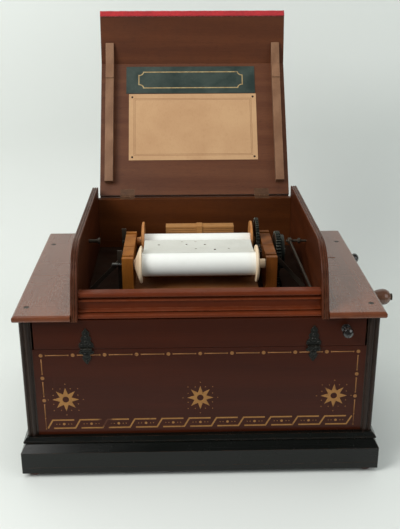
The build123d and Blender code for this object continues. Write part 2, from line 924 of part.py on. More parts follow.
def lid_hinges():
    """Two butt hinges: case leaves with pins, and lid leaves."""
    half = hinge_width / 2
    knuckle = hinge_width / 6
    gap = 0.2
    bore = hinge_pin_radius + hinge_pin_clearance
    leaf_front = case_depth - hinge_leaf_length
    barrel = tube((-half, half), bore, hinge_barrel_radius, lid_pin_y, lid_pin_height)
    hole = rod((-half - 1, half + 1), bore, lid_pin_y, lid_pin_height)
    low = slab(
        (-half, half), (leaf_front, lid_pin_y), (back_board_top - hinge_leaf_thickness, back_board_top))
    high = slab((-half, half), (leaf_front, lid_pin_y), (lid_face, lid_face + hinge_leaf_thickness))
    around = (lid_pin_y - hinge_barrel_radius - gap, lid_pin_y + hinge_barrel_radius + gap)
    tall = (lid_pin_height - 5, lid_pin_height + 5)
    middle = slab((-knuckle - gap, knuckle + gap), around, tall)
    case_leaf = low + barrel - middle - hole
    lid_leaf = high + barrel
    for side in (-1, 1):
        ends = sorted((side * knuckle, side * (half + 1)))
        lid_leaf -= slab(ends, around, tall)
    lid_leaf -= hole
    pin = rod((-half, half), hinge_pin_radius, lid_pin_y, lid_pin_height)
    case_side = []
    lid_side = []
    for side in (-1, 1):
        case_side += [Pos(side * hinge_x, 0, 0) * case_leaf, Pos(side * hinge_x, 0, 0) * pin]
        lid_side.append(lid_opened(Pos(side * hinge_x, 0, 0) * lid_leaf))
    return case_side, lid_side


# ---- spool frames, tracker bar and paper ---------------------------------------
def spool_frame(right):
    """Upright end frame with open slots for the two spool axles."""
    inner = frame_right_inner if right else frame_left_outer
    span = (inner, inner + frame_thickness)
    block = slab(span, (frame_front, frame_back), (deck_top, frame_top))
    half_slot = axle_radius + axle_clearance
    for y in (feed_y, take_up_y):
        block -= slab(
            (span[0] - 1, span[1] + 1), (y - half_slot, y + half_slot), (spool_height, frame_top + 1))
        block -= rod((span[0] - 1, span[1] + 1), half_slot, y, spool_height)
    block -= slab(
        (span[0] - 1, span[1] + 1), (frame_slot_extra - 1, frame_slot_extra + 1),
        (frame_top - frame_slot_extra_depth, frame_top + 1),
    )
    if right:
        bore = countershaft_radius + axle_clearance
        block -= rod((span[0] - 1, span[1] + 1), bore, countershaft_y, countershaft_height)
    return block


def port_cutters(low, high):
    """One upright slot for each note."""
    cutters = []
    for note in range(port_count):
        x = port_first + note * port_pitch
        cutters.append(slab(
            (x - port_width / 2, x + port_width / 2), (port_y - port_length / 2, port_y + port_length / 2),
            (low, high),
        ))
    return cutters


def mechanism_bed():
    """Board between the frames that the tracker bar stands on."""
    board = slab(
        (frame_left_inner, frame_right_inner - bed_right_gap),
        (frame_front - bed_margin, frame_back + bed_margin),
        (deck_top, bed_top),
    )
    for port in port_cutters(deck_top - 1, bed_top + 1):
        board -= port
    return board


def tracker_bar():
    """Bar under the paper, with one port for each note."""
    span = (tracker_left, tracker_right)
    top = slab(span, (tracker_front, tracker_back), (tracker_top - tracker_cap, tracker_top))
    long_edges = top.edges().filter_by(Axis.X).group_by(Axis.Z)[-1]
    top = fillet(long_edges, 2.0)
    neck = slab(
        span, (tracker_front + tracker_neck_inset, tracker_back - tracker_neck_inset),
        (bed_top, tracker_top - tracker_cap),
    )
    bar = top + neck
    for port in port_cutters(bed_top - 1, tracker_top + 1):
        bar -= port
    return bar


def touched_below(point, radius):
    """Where a line from the (Y, Z) point touches the underside of a circle round the take-up axle."""
    run, rise = take_up_y - point[0], spool_height - point[1]
    reach = hypot(run, rise)
    slope = atan2(rise, run) - asin(radius / reach)
    length = sqrt(reach ** 2 - radius ** 2)
    return point[0] + length * cos(slope), point[1] + length * sin(slope)


def paper_web():
    """Paper off the top of the feed roll, over the tracker bar and under the take-up roll."""
    low = tracker_top + paper_gap
    feed_top = spool_height + feed_paper_radius + paper_gap
    t = paper_thickness
    front = tracker_front + 2
    back = tracker_back + paper_gap
    touch = take_up_paper_radius + paper_gap
    below, above = (back, low), (back + t / 2, low + t)
    outline = [
        (feed_y, feed_top), (front, low), below, touched_below(below, touch + t),
        touched_below(above, touch), above, (front, low + t), (feed_y, feed_top + t),
    ]
    return prism((paper_left + 1, paper_right - 1), outline)


def feed_spool():
    """Pale spool: core, a coned left flange and a dished right flange with its hub."""
    r = feed_flange_radius
    left = frame_left_inner + spool_end_gap
    right = frame_right_inner - spool_end_gap
    rim = paper_left - flange_thickness
    outline = [
        (left, axle_radius), (left, hub_radius), (left + 1.5, hub_radius + 0.5), (rim + 1.0, r - 1.5),
        (rim + 2.2, r),
        (paper_left - 0.6, r), (paper_left, r - 1.0), (paper_left, feed_core_radius),
        (paper_right, feed_core_radius),
        (paper_right, r - 1.0), (paper_right + 0.8, r), (paper_right + 2.6, r - 0.4),
        (paper_right + flange_thickness, r - 4.0), (paper_right + flange_thickness + 1, hub_radius + 2),
        (paper_right + flange_thickness + 1.5, hub_radius), (right, hub_radius), (right, axle_radius),
    ]
    return turned(outline, feed_y, spool_height)


def feed_axle():
    """Steel axle of the feed spool; its left end stands out of the frame."""
    return rod((feed_axle_left, frame_right_outer), axle_radius, feed_y, spool_height)


def music_roll():
    """Wound paper on the feed spool."""
    return tube((paper_left, paper_right), feed_core_radius, feed_paper_radius, feed_y, spool_height)


def take_up_spool():
    """Darker spool that the paper winds on to, its flanges bevelled outside."""
    r = take_up_flange_radius
    left = frame_left_inner + spool_end_gap
    rim = paper_left - flange_thickness
    outline = [
        (left, axle_radius), (left, hub_radius), (rim, hub_radius + 1), (rim, r - 5), (rim + 1.4, r),
        (paper_left, r),
        (paper_left, take_up_core_radius), (paper_right, take_up_core_radius), (paper_right, r),
        (paper_right + 2.6, r),
        (paper_right + flange_thickness, r - 5), (paper_right + flange_thickness, hub_radius + 1),
        (take_up_gear_left, hub_radius), (take_up_gear_left, axle_radius),
    ]
    return turned(outline, take_up_y, spool_height)


def take_up_paper():
    """First turns of paper on the take-up spool."""
    return tube(
        (paper_left, paper_right), take_up_core_radius, take_up_paper_radius, take_up_y, spool_height)


def take_up_gear():
    """Gear on the right end of the take-up spool, with the axle that both share."""
    span = (take_up_gear_left, take_up_gear_left + take_up_gear_thickness)
    wheel = gear(span, take_up_teeth, take_up_phase, take_up_y, spool_height)
    wheel -= rod((span[0] - 1, span[1] + 1), axle_radius, take_up_y, spool_height)
    axle = rod((take_up_axle_left, frame_right_outer), axle_radius, take_up_y, spool_height)
    return [wheel, axle]


def axle_keepers():
    """Flat strips on the left frame that stand behind the two axles."""
    strips = []
    for y in (feed_y, take_up_y):
        back = y + axle_radius + keeper_gap
        strips.append(slab(
            (frame_left_outer - keeper_width, frame_left_outer), (back, back + keeper_thickness),
            (deck_top, keeper_top),
        ))
    return strips


def flat_bar(foot, head, width, y):
    """Straight bar in a plane across the case, from foot (X, Z) to head, its ends cut upright."""
    dx = head[0] - foot[0]
    dz = head[1] - foot[1]
    rise = width / 2 * sqrt(dx * dx + dz * dz) / abs(dx)
    face = make_face(Polyline(
        (foot[0], foot[1] - rise), (head[0], head[1] - rise), (head[0], head[1] + rise),
        (foot[0], foot[1] + rise),
        close=True,
    ))
    return extrude(Plane.XZ.offset(-y[1]) * face, y[1] - y[0])


def braces():
    """Raking stays from the deck to each frame, and the strut that steadies the right rod."""
    back = feed_y + axle_radius + keeper_gap + keeper_thickness
    depth = (back, back + stay_thickness)
    floor = slab((-inner_half, inner_half), (0, case_depth), (0, deck_top))
    left = flat_bar(
        (-stay_foot_x, stay_foot_height), (frame_left_outer, stay_head_height), stay_width, depth) - floor
    right = flat_bar(
        (stay_foot_x, stay_foot_height), (frame_right_outer, stay_head_height), stay_width, depth) - floor
    return [left, right, rod_strut()]


def rod_strut():
    """Flat bar from the right cheek up to an eye on the thin rod."""
    head = Vector(strut_head_x, rod_y, rod_height)
    foot = Vector(cheek_inner, strut_foot_y, strut_foot_height)
    along = (head - foot).normalized()
    plane = Plane(origin=foot - along * strut_width, x_dir=(1, 0, 0), z_dir=along)
    bar = extrude(plane * Rectangle(strut_thickness, strut_width), (head - foot).length + strut_width)
    bar -= slab((cheek_inner, cheek_outer), (0, case_depth), (0, cheek_top))
    half = strut_thickness
    bar += rod((strut_head_x - half, strut_head_x + half), strut_eye_radius, rod_y, rod_height)
    return bar - rod((strut_head_x - 2 * half, strut_head_x + 2 * half), rod_radius, rod_y, rod_height)


def side_rods():
    """Stub with a nut on the left cheek, and the thin rod with a collar on the right cheek."""
    stub_end = -cheek_inner + stub_length
    stub = rod((-cheek_inner, stub_end), stub_radius, stub_y, stub_height)
    nut = rod((stub_end - stub_nut_length, stub_end), stub_nut_radius, stub_y, stub_height)
    bar = rod((rod_tip_x, cheek_inner), rod_radius, rod_y, rod_height)
    collar_right = cheek_inner - collar_gap
    collar = rod((collar_right - collar_length, collar_right), collar_radius, rod_y, rod_height)
    return [stub + nut, bar + collar]


def rear_block():
    """Layered wooden block behind the take-up spool, with a clip over its middle."""
    span = (rear_block_left, rear_block_right)
    block = slab(span, (rear_block_front, rear_block_back), (deck_top, rear_block_top))
    for layer in range(1, rear_block_layers + 1):
        z = rear_block_top - layer * rear_block_layer
        block -= slab(
            (span[0] - 1, span[1] + 1), (rear_block_front - 1, rear_block_front + rear_block_groove),
            (z - rear_block_groove / 2, z + rear_block_groove / 2),
        )
    half = clip_width / 2
    sides = (clip_centre_x - half, clip_centre_x + half)
    over = slab(
        sides, (rear_block_front - clip_thickness, rear_block_back),
        (rear_block_top, rear_block_top + clip_thickness))
    drop = slab(
        sides, (rear_block_front - clip_thickness, rear_block_front),
        (rear_block_top - clip_drop, rear_block_top))
    return [block, over + drop]


# ---- gear train and crank ------------------------------------------------------
def countershaft():
    """Countershaft with the pinion that turns the take-up gear."""
    left = take_up_gear_left - pinion_overlap
    right = take_up_gear_left + take_up_gear_thickness + pinion_overlap
    pinion = gear((left, right), pinion_teeth, 0, countershaft_y, countershaft_height)
    return pinion + rod((left, countershaft_end), countershaft_radius, countershaft_y, countershaft_height)


def drive_gear():
    """Large gear on the countershaft, with its smaller outer disc."""
    span = (gear_plane, gear_plane + gear_thickness)
    wheel = gear(span, drive_teeth, drive_phase, countershaft_y, countershaft_height)
    neck = (span[1], span[1] + disc_step)
    wheel += rod(neck, disc_radius / 2, countershaft_y, countershaft_height)
    disc = (neck[1], neck[1] + disc_thickness)
    wheel += rod(disc, disc_radius, countershaft_y, countershaft_height)
    return wheel - rod((span[0] - 1, disc[1] + 1), countershaft_radius, countershaft_y, countershaft_height)


def idler_gear():
    """Idler between the crankshaft gear and the drive gear."""
    span = (gear_plane, gear_plane + gear_thickness)
    wheel = gear(span, idler_teeth, idler_phase, idler_y, idler_height)
    return wheel - rod((span[0] - 1, span[1] + 1), idler_bore + axle_clearance, idler_y, idler_height)


def idler_bracket():
    """Bracket under the deck with the stud that the idler turns on."""
    right = gear_plane - 1.0
    half = idler_bracket_width / 2
    low = idler_height - half
    plate = slab(
        (right - idler_bracket_thickness, right), (idler_y - half, idler_y + half), (low, deck_bottom))
    stud = rod((right, gear_plane + gear_thickness + 0.5), idler_bore, idler_y, idler_height)
    head_left = gear_plane + gear_thickness + 0.5
    head = rod((head_left, head_left + 1.0), idler_bore + 2, idler_y, idler_height)
    return plate + stud + head


def crank_gear():
    """Gear keyed on the crankshaft."""
    span = (gear_plane, gear_plane + gear_thickness)
    wheel = gear(span, crank_teeth, 0, crank_y, crank_height)
    return wheel - rod((span[0] - 1, span[1] + 1), shaft_radius, crank_y, crank_height)


def web(x, side):
    """Crank web between the shaft and a throw; side is -1 for the front throw."""
    h = web_half_width
    y = crank_y + side * throw_radius
    low = min(crank_y, y) - h
    high = max(crank_y, y) + h
    plate = slab(x, (low, high), (crank_height - h, crank_height + h))
    return fillet(plate.edges().filter_by(Axis.X), h * 0.9)


def crankshaft():
    """Built-up shaft with two throws half a turn apart."""
    left_end = -inner_half + 1.0
    right_end = arm_left + arm_thickness + nut_thickness + 1.0
    half_pin = pin_length / 2
    shaft = None
    for side in (-1, 1):
        middle = side * throw_x
        inner = (middle - half_pin - web_thickness, middle - half_pin)
        outer = (middle + half_pin, middle + half_pin + web_thickness)
        throw = web(inner, side) + web(outer, side)
        throw += rod((inner[1], outer[0]), pin_radius, crank_y + side * throw_radius, crank_height)
        shaft = throw if shaft is None else shaft + throw
    reach = half_pin + web_thickness
    journals = (left_end, -throw_x - reach), (-throw_x + reach, throw_x - reach), (throw_x + reach, right_end)
    for span in journals:
        shaft += rod(span, shaft_radius, crank_y, crank_height)
    return shaft


def shaft_bearings():
    """Left block, middle pedestal and the flanged bush in the right side board."""
    half = bearing_width / 2
    bore = shaft_radius + shaft_clearance
    block = slab(
        (-inner_half, -inner_half + bearing_left_width), (crank_y - half, crank_y + half),
        (crank_height - half, crank_height + half),
    )
    pedestal = slab(
        (-pedestal_thickness / 2, pedestal_thickness / 2), (crank_y - half, crank_y + half),
        (base_thickness, crank_height + half),
    )
    hole = rod((-inner_half - 1, inner_half), bore, crank_y, crank_height)
    bush = tube((inner_half - bush_flange, half_width), bore, bush_radius, crank_y, crank_height)
    flange = tube((half_width, half_width + bush_flange), bore, bush_radius + 4, crank_y, crank_height)
    return [block - hole, pedestal - hole, bush + flange]


def crank_arm():
    """Tapered crank arm with its square nut and the pin that carries the grip."""
    span = (arm_left, arm_left + arm_thickness)
    hub = rod(span, arm_hub_radius, crank_y, crank_height)
    tip = rod(span, arm_tip_radius, crank_y, crank_height + crank_radius)
    sides = [
        (crank_y - arm_hub_radius * 0.9, crank_height),
        (crank_y - arm_tip_radius, crank_height + crank_radius),
        (crank_y + arm_tip_radius, crank_height + crank_radius),
        (crank_y + arm_hub_radius * 0.9, crank_height),
    ]
    arm = hub + tip + prism(span, sides)
    arm -= rod((span[0] - 1, span[1] + 1), shaft_radius, crank_y, crank_height)
    half = nut_size / 2
    nut = slab(
        (span[1], span[1] + nut_thickness), (crank_y - half, crank_y + half),
        (crank_height - half, crank_height + half))
    nut -= rod((span[1] - 1, span[1] + nut_thickness + 1), shaft_radius, crank_y, crank_height)
    pin_end = span[1] + 2 * grip_end_play + grip_length
    centre = (crank_y, crank_height + crank_radius)
    arm -= rod((span[0] - 1, span[1] + 1), grip_pin_radius, *centre)
    pin = rod(
        (span[0], pin_end), grip_pin_radius, *centre) + rod((pin_end, pin_end + 2.0), grip_pin_head,
        *centre)
    return [turn_about(shape, crank_y, crank_height, crank_rest_angle) for shape in (arm, nut, pin)]


def crank_grip():
    """Turned wooden grip, swelling to a round end, that spins on its pin."""
    left = arm_left + arm_thickness + grip_end_play
    r = grip_radius
    neck = grip_neck_radius
    length = grip_length
    bore = grip_pin_radius + axle_clearance
    outline = [
        (left, bore), (left, neck), (left + 1.5, neck + 1.0), (left + 3.0, neck),
        (left + length * 0.30, neck + 0.4),
        (left + length * 0.45, r * 0.86), (left + length * 0.60, r * 0.97), (left + length * 0.72, r),
        (left + length * 0.84, r * 0.93), (left + length * 0.94, r * 0.74), (left + length, r * 0.48),
        (left + length, bore),
    ]
    return turned(outline, grip_y, grip_height)


# ---- bellows and wind chest ------------------------------------------------------
def connecting_rod(side):
    """Rod from a crank throw down to its feeder, with the cross pin at its foot."""
    middle = side * throw_x
    y = crank_y + side * throw_radius
    span = (middle - rod_thickness / 2, middle + rod_thickness / 2)
    low = crank_height - rod_length
    body = rod(span, rod_eye, y, crank_height) + rod(span, rod_foot_eye, y, low)
    body += slab(span, (y - rod_shank / 2, y + rod_shank / 2), (low, crank_height))
    body -= rod((span[0] - 1, span[1] + 1), pin_radius + shaft_clearance, y, crank_height)
    return body + rod((middle - rod_pin_length / 2, middle + rod_pin_length / 2), rod_pin_radius, y, low)


def feeder_span(side):
    """X ends of a feeder on the given side."""
    return sorted((side * feeder_inner_x, side * (feeder_inner_x + feeder_width)))


def feeder_board_piece(side):
    """Moving board of a feeder, with two ears that straddle the rod's cross pin."""
    low, high = feeder_span(side)
    board = slab(
        (low, high), (feeder_front, feeder_hinge_y),
        (feeder_hinge_height, feeder_hinge_height + feeder_board))
    board = turn_about(board, feeder_hinge_y, feeder_hinge_height, -feeder_tilt)
    back = feeder_hinge_y - crank_y
    foot = feeder_hinge_height + (back - ear_length / 2) * tan(radians(feeder_tilt)) + feeder_board / 2
    for direction in (-1, 1):
        inner = side * throw_x + direction * ear_gap / 2
        outer = inner + direction * ear_thickness
        board += slab(
            sorted((inner, outer)), (crank_y - ear_length / 2, crank_y + ear_length / 2), (foot, ear_top))
    return board


def feeder_rails():
    """Rails on the base board that the feeder boards are hinged to."""
    rails = []
    for side in (-1, 1):
        low, high = feeder_span(side)
        rails.append(slab(
            (low + cloth_thickness, high - cloth_thickness),
            (feeder_hinge_y - feeder_rail_depth, feeder_hinge_y - cloth_thickness),
            (base_thickness, feeder_hinge_height - 0.3),
        ))
    return rails


def bellows_skin(x, outline, inner):
    """Cloth round a wedge: the wedge of (Y, Z) points less the wedge inside it."""
    return prism(x, outline) - prism((x[0] + cloth_thickness, x[1] - cloth_thickness), inner)


def feeder_cloths():
    """Cloth sides of the two feeders, between the base board and the moving boards."""
    slope = tan(radians(feeder_tilt))
    t = cloth_thickness
    skins = []
    front = feeder_hinge_y - feeder_length * cos(radians(feeder_tilt))
    rise = feeder_length * sin(radians(feeder_tilt))
    for side in (-1, 1):
        outline = [
            (feeder_hinge_y, base_thickness), (feeder_hinge_y, feeder_hinge_height),
            (front, feeder_hinge_height + rise), (front, base_thickness),
        ]
        inner = [
            (feeder_hinge_y - t, base_thickness - 1),
            (feeder_hinge_y - t, feeder_hinge_height + t * slope + 1),
            (front + t, feeder_hinge_height + rise - t * slope + 1), (front + t, base_thickness - 1),
        ]
        skins.append(bellows_skin(feeder_span(side), outline, inner))
    return skins


def wind_chest():
    """Chest under the reed pan: floor and four walls."""
    span = (chest_left, chest_right)
    box = slab(span, (chest_front, chest_back), (chest_bottom, pan_bottom))
    box -= slab(
        (span[0] + chest_wall, span[1] - chest_wall), (chest_front + chest_wall, chest_back - chest_wall),
        (chest_bottom + chest_wall, pan_bottom + 1),
    )
    return box


def reed_pan():
    """Pan under the deck with one long cell for each reed."""
    pan = slab((chest_left, chest_right), (chest_front, chest_back), (pan_bottom, deck_bottom))
    for note in range(port_count):
        x = port_first + note * port_pitch
        pan -= slab(
            (x - cell_width / 2, x + cell_width / 2), (cell_front, cell_back),
            (deck_bottom - cell_depth, deck_bottom + 1))
    return pan


def reeds():
    """Brass reed plates, one in each cell."""
    low = deck_bottom - cell_depth
    plates = []
    for note in range(port_count):
        x = port_first + note * port_pitch
        plates.append(slab(
            (x - reed_width / 2, x + reed_width / 2), (reed_front, reed_back), (low, low + reed_thickness)))
    return plates


def reservoir_board_piece():
    """Moving board of the reservoir, hanging open under the chest."""
    span = (chest_left + reservoir_inset, chest_right - reservoir_inset)
    board = slab(
        span, (reservoir_front, reservoir_hinge_y),
        (reservoir_hinge_height - reservoir_board, reservoir_hinge_height),
    )
    return turn_about(board, reservoir_hinge_y, reservoir_hinge_height, reservoir_tilt)


def reservoir_cloth():
    """Cloth sides of the reservoir, between the chest and its moving board."""
    span = (chest_left + reservoir_inset, chest_right - reservoir_inset)
    length = reservoir_hinge_y - reservoir_front
    slope = tan(radians(reservoir_tilt))
    front = reservoir_hinge_y - length * cos(radians(reservoir_tilt))
    fall = length * sin(radians(reservoir_tilt))
    t = cloth_thickness
    outline = [
        (reservoir_hinge_y, chest_bottom), (reservoir_hinge_y, reservoir_hinge_height),
        (front, reservoir_hinge_height - fall), (front, chest_bottom),
    ]
    inner = [
        (reservoir_hinge_y - t, chest_bottom + 1),
        (reservoir_hinge_y - t, reservoir_hinge_height - t * slope - 1),
        (front + t, reservoir_hinge_height - fall + t * slope - 1), (front + t, chest_bottom + 1),
    ]
    return bellows_skin(span, outline, inner)


def wind_trunk():
    """Upright duct behind the chest, from the feeders to the chest."""
    w = trunk_half_width
    back = chest_back + trunk_depth
    duct = slab((-w, w), (chest_back, back), (base_thickness, pan_bottom))
    t = trunk_wall
    return duct - slab((-w + t, w - t), (chest_back + t, back - t), (base_thickness - 1, pan_bottom - t))


# ---- stop knob -----------------------------------------------------------------
def stop_knob():
    """Draw knob on the right side, with its rod through the side board."""
    r = stop_knob_radius
    start = half_width + 0.3
    head = start + stop_neck_length
    end = head + stop_knob_length
    outline = [
        (stop_rod_inner, 0), (stop_rod_inner, stop_rod_radius), (start, stop_rod_radius),
        (start, stop_neck_radius + 1.2),
        (start + 1.5, stop_neck_radius + 1.2), (start + 3.0, stop_neck_radius), (head, stop_neck_radius),
        (head + 1.0, r * 0.85), (head + stop_knob_length * 0.35, r),
        (head + stop_knob_length * 0.65, r * 0.93),
        (end - 1.0, r * 0.62), (end, r * 0.3), (end, 0),
    ]
    return turned(outline, stop_y, stop_height)


# ---- build ---------------------------------------------------------------------
def build():
    """Write every node."""
    os.makedirs("parts", exist_ok=True)
    save("base_board", base_board())
    save("feet", *feet())
    save("plinth_rails", *plinth_rails())
    save("side_panel_left", side_panel(False))
    save("side_panel_right", side_panel(True))
    save("front_panel", front_panel())
    save("back_panel", back_panel())
    save("deck_board", deck_board())
    save("shelf_left", shelf(False))
    save("shelf_right", shelf(True))
    save("shelf_screws", *shelf_screws())
    save("cheek_left", cheek(False))
    save("cheek_right", cheek(True))
    save("box_back", box_back())
    save("sill_rail", sill_rail())
    strap_case, strap_flap = strap_hinges()
    save("swell_flap", swell_flap())
    save("flap_knob", flap_knob())
    save("strap_hinge_case_leaves", *strap_case)
    save("strap_hinge_flap_leaves", *strap_flap)
    hinge_case, hinge_lid = lid_hinges()
    save("lid_main_board", lid_main_board())
    save("lid_front_board", lid_front_board())
    save("lid_battens", *lid_battens())
    save("lid_felt", lid_felt())
    save("name_plate", name_plate())
    save("lid_card", lid_card())
    save("card_tacks", *card_tacks())
    save("lid_hinge_case_leaves", *hinge_case)
    save("lid_hinge_lid_leaves", *hinge_lid)
    save("spool_frame_left", spool_frame(False))
    save("spool_frame_right", spool_frame(True))
    save("mechanism_bed", mechanism_bed())
    save("tracker_bar", tracker_bar())
    save("paper_web", paper_web())
    save("feed_spool", feed_spool())
    save("feed_axle", feed_axle())
    save("music_roll", music_roll())
    save("take_up_spool", take_up_spool())
    save("take_up_paper", take_up_paper())
    save("take_up_gear", *take_up_gear())
    save("steel_bars", *axle_keepers(), *braces(), *side_rods())
    save("rear_block", *rear_block())
    save("countershaft", countershaft())
    save("drive_gear", drive_gear())
    save("idler_gear", idler_gear())
    save("crank_gear", crank_gear())
    save("crankshaft", crankshaft())
    save("shaft_bearings", *shaft_bearings(), idler_bracket())
    save("crank_arm", *crank_arm())
    save("crank_grip", crank_grip())
    save("connecting_rod_left", connecting_rod(-1))
    save("connecting_rod_right", connecting_rod(1))
    save("feeder_board_left", feeder_board_piece(-1))
    save("feeder_board_right", feeder_board_piece(1))
    save("inner_rails", *deck_cleats(), *feeder_rails())
    save("bellows_cloths", *feeder_cloths(), reservoir_cloth())
    save("wind_chest", wind_chest(), wind_trunk())
    save("reed_pan", reed_pan())
    save("reeds", *reeds())
    save("reservoir_board", reservoir_board_piece())
    save("stop_knob", stop_knob())


build()
print("crank", crank_centre, "idler", idler_place, "countershaft", countershaft_centre)
print("grip", (grip_y, grip_height), "lid pin", (lid_pin_y, lid_pin_height))
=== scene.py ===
"""Roller organ: the finishes, gilt ornament, punched paper, cloth and stage that dress the packed part.

Lengths are in metres in the frame of the packed model: X to the right, Y to the back, Z up.
"""
import json
import math

import bmesh
import bpy
import numpy as np
from bpy.props import FloatProperty, FloatVectorProperty, IntProperty, PointerProperty
from mathutils import Matrix, Vector


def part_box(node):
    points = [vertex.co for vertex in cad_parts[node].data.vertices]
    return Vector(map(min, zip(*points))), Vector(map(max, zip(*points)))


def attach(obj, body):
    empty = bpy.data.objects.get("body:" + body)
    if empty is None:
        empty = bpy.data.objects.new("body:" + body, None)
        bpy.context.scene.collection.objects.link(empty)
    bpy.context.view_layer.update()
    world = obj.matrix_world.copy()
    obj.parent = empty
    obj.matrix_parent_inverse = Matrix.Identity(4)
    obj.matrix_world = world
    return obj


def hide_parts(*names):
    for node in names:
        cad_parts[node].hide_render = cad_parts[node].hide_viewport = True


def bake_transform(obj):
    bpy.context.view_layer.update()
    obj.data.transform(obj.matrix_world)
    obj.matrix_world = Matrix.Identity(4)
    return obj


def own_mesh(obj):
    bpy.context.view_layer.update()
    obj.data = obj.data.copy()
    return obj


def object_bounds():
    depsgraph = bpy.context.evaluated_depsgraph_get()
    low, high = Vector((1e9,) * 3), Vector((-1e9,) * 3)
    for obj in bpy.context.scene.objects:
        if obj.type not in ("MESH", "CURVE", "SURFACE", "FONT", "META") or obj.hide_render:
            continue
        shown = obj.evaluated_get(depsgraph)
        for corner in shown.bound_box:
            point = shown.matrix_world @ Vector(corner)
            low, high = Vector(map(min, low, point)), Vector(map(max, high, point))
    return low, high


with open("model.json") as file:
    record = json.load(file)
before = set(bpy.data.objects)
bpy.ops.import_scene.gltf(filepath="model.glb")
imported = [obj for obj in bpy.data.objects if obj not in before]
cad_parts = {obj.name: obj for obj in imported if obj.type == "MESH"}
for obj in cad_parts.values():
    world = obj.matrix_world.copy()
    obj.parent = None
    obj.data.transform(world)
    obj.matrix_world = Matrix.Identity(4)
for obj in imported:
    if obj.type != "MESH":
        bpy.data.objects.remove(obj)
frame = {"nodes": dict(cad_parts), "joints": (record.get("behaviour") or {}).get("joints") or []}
CAD_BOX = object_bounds()

bl_info = {
    "name": "Roller Organ",
    "version": (1, 0, 0),
    "blender": (4, 5, 0),
    "location": "View3D > Sidebar > Roller Organ",
    "description": "Dresses the roller organ with its finishes, ornament, paper and stage",
    "category": "Add Mesh",
}

MM = 0.001
TOUCHING = 1e-7  # vertices nearer to each other than this are merged


# ---- settings -------------------------------------------------------------------
def linear(rgb):
    """Scene linear colour of three sRGB values from 0 to 255."""
    c = np.array(rgb, float) / 255
    return tuple(np.where(c <= 0.04045, c / 12.92, ((c + 0.055) / 1.055) ** 2.4))


def length(label, words, millimetres):
    """A length setting, its default given in millimetres."""
    return FloatProperty(name=label, description=words, default=millimetres * MM, unit="LENGTH", precision=5)


def how_many(label, words, number):
    """A setting that counts pieces."""
    return IntProperty(name=label, description=words, default=number, min=1)


def watts(label, words, number):
    """The setting of a lamp's power."""
    return FloatProperty(name=label, description=words, default=number, unit="POWER")


def colour(label, words, *rgb):
    """A colour setting, its default given in sRGB from 0 to 255."""
    return FloatVectorProperty(
        name=label, description=words, default=linear(rgb), size=3, min=0, max=1, subtype="COLOR")


class ORGAN_PG_gilding(bpy.types.PropertyGroup):
    """Sizes of the gilt ornament on the front panel."""

    leaf: length("Leaf Height", "How far the gilding stands out of the varnish", 0.12)
    border_reach: length("Border Reach", "Middle of the panel to the border at each side", 186.7)
    border_top: length("Border Top", "Height of the border along the top", 150.3)
    top_steps: how_many("Top Steps", "Bars along the top of the border", 10)
    side_steps: how_many("Side Steps", "Bars down each side of the border", 3)
    border_foot: length("Border Foot", "Height where the thin line below the last bar ends", 51.0)
    side_step: length("Side Step", "Distance between the beads down each side", 30.0)
    bead: length("Bead Radius", "Radius of the beads of the border", 2.3)
    bar_gap: length("Bar Gap", "Bead's middle to the tip of a bar", 5.6)
    bar_width: length("Bar Width", "Width of the thin bars", 1.2)
    tip: length("Bar Tip Radius", "Radius of the small dot at each end of a bar", 0.95)
    star_height: length("Star Height", "Height of the middle of the stars", 91.2)
    star_place: length("Star Place", "Middle of the panel to an outer star", 160.9)
    star_reach: length("Star Reach", "Radius of a star at its points", 15.9)
    star_valley: length("Star Valley", "Radius of a star between its points", 7.6)
    star_eye: length("Star Eye", "Radius of the dark eye of a star", 3.9)
    spark_ring: length("Spark Ring", "Radius of the specks beyond the points of a star", 20.9)
    band_low: length("Band Low", "Height of the lower bars of the running band", 51.8)
    band_high: length("Band High", "Height of the upper bars of the running band", 63.1)
    band_reach: length("Band Reach", "Middle of the panel to the band's last slant", 181.4)
    band_cells: how_many("Band Cells", "Cells of the running band", 11)
    band_bar: length("Band Bar", "Length of a bar of the running band", 25.8)
    band_slant: length("Band Slant", "How far a slanting stroke leans to the right", 6.2)
    band_stroke: length("Band Stroke", "Width of the strokes of the running band", 1.9)


class ORGAN_PG_lid_fittings(bpy.types.PropertyGroup):
    """Sizes of the plate's border, the card's ruled frame and the strip along the lid's foot."""

    plate_thickness: length("Plate Thickness", "Thickness of the plate", 0.6)
    plate_half_width: length(
        "Plate Border Half Width", "Middle of the plate to its border at each side", 78.5)
    plate_half_height: length(
        "Plate Border Half Height", "Middle of the plate to its border above and below", 13.0)
    plate_hollow: length("Plate Hollow", "Width of the hollow corners of the plate's border", 7.0)
    plate_hollow_height: length("Plate Hollow Height", "Height of those hollow corners", 5.46)
    plate_line: length("Plate Line", "Width of the plate's border line", 1.5)
    lipping: length("Lipping", "How far the strip stands beyond the foot of the open lid", 1.5)
    lipping_width: length("Lipping Width", "Width of the strip along the lid's foot", 3.0)
    card_thickness: length("Card Thickness", "Thickness of the card", 0.5)
    card_half_width: length("Card Half Width", "Middle of the card to its edge at each side", 96.0)
    card_half_height: length("Card Half Height", "Middle of the card to its edge above and below", 53.0)
    card_inset: length("Card Frame Inset", "Edge of the card to its ruled frame", 7.5)
    card_gap: length("Card Frame Gap", "Distance between the two ruled lines", 1.9)
    card_line: length("Card Line", "Width of a ruled line", 0.45)
    ink: length("Ink Height", "How far paint and ink stand out of the sheet", 0.06)


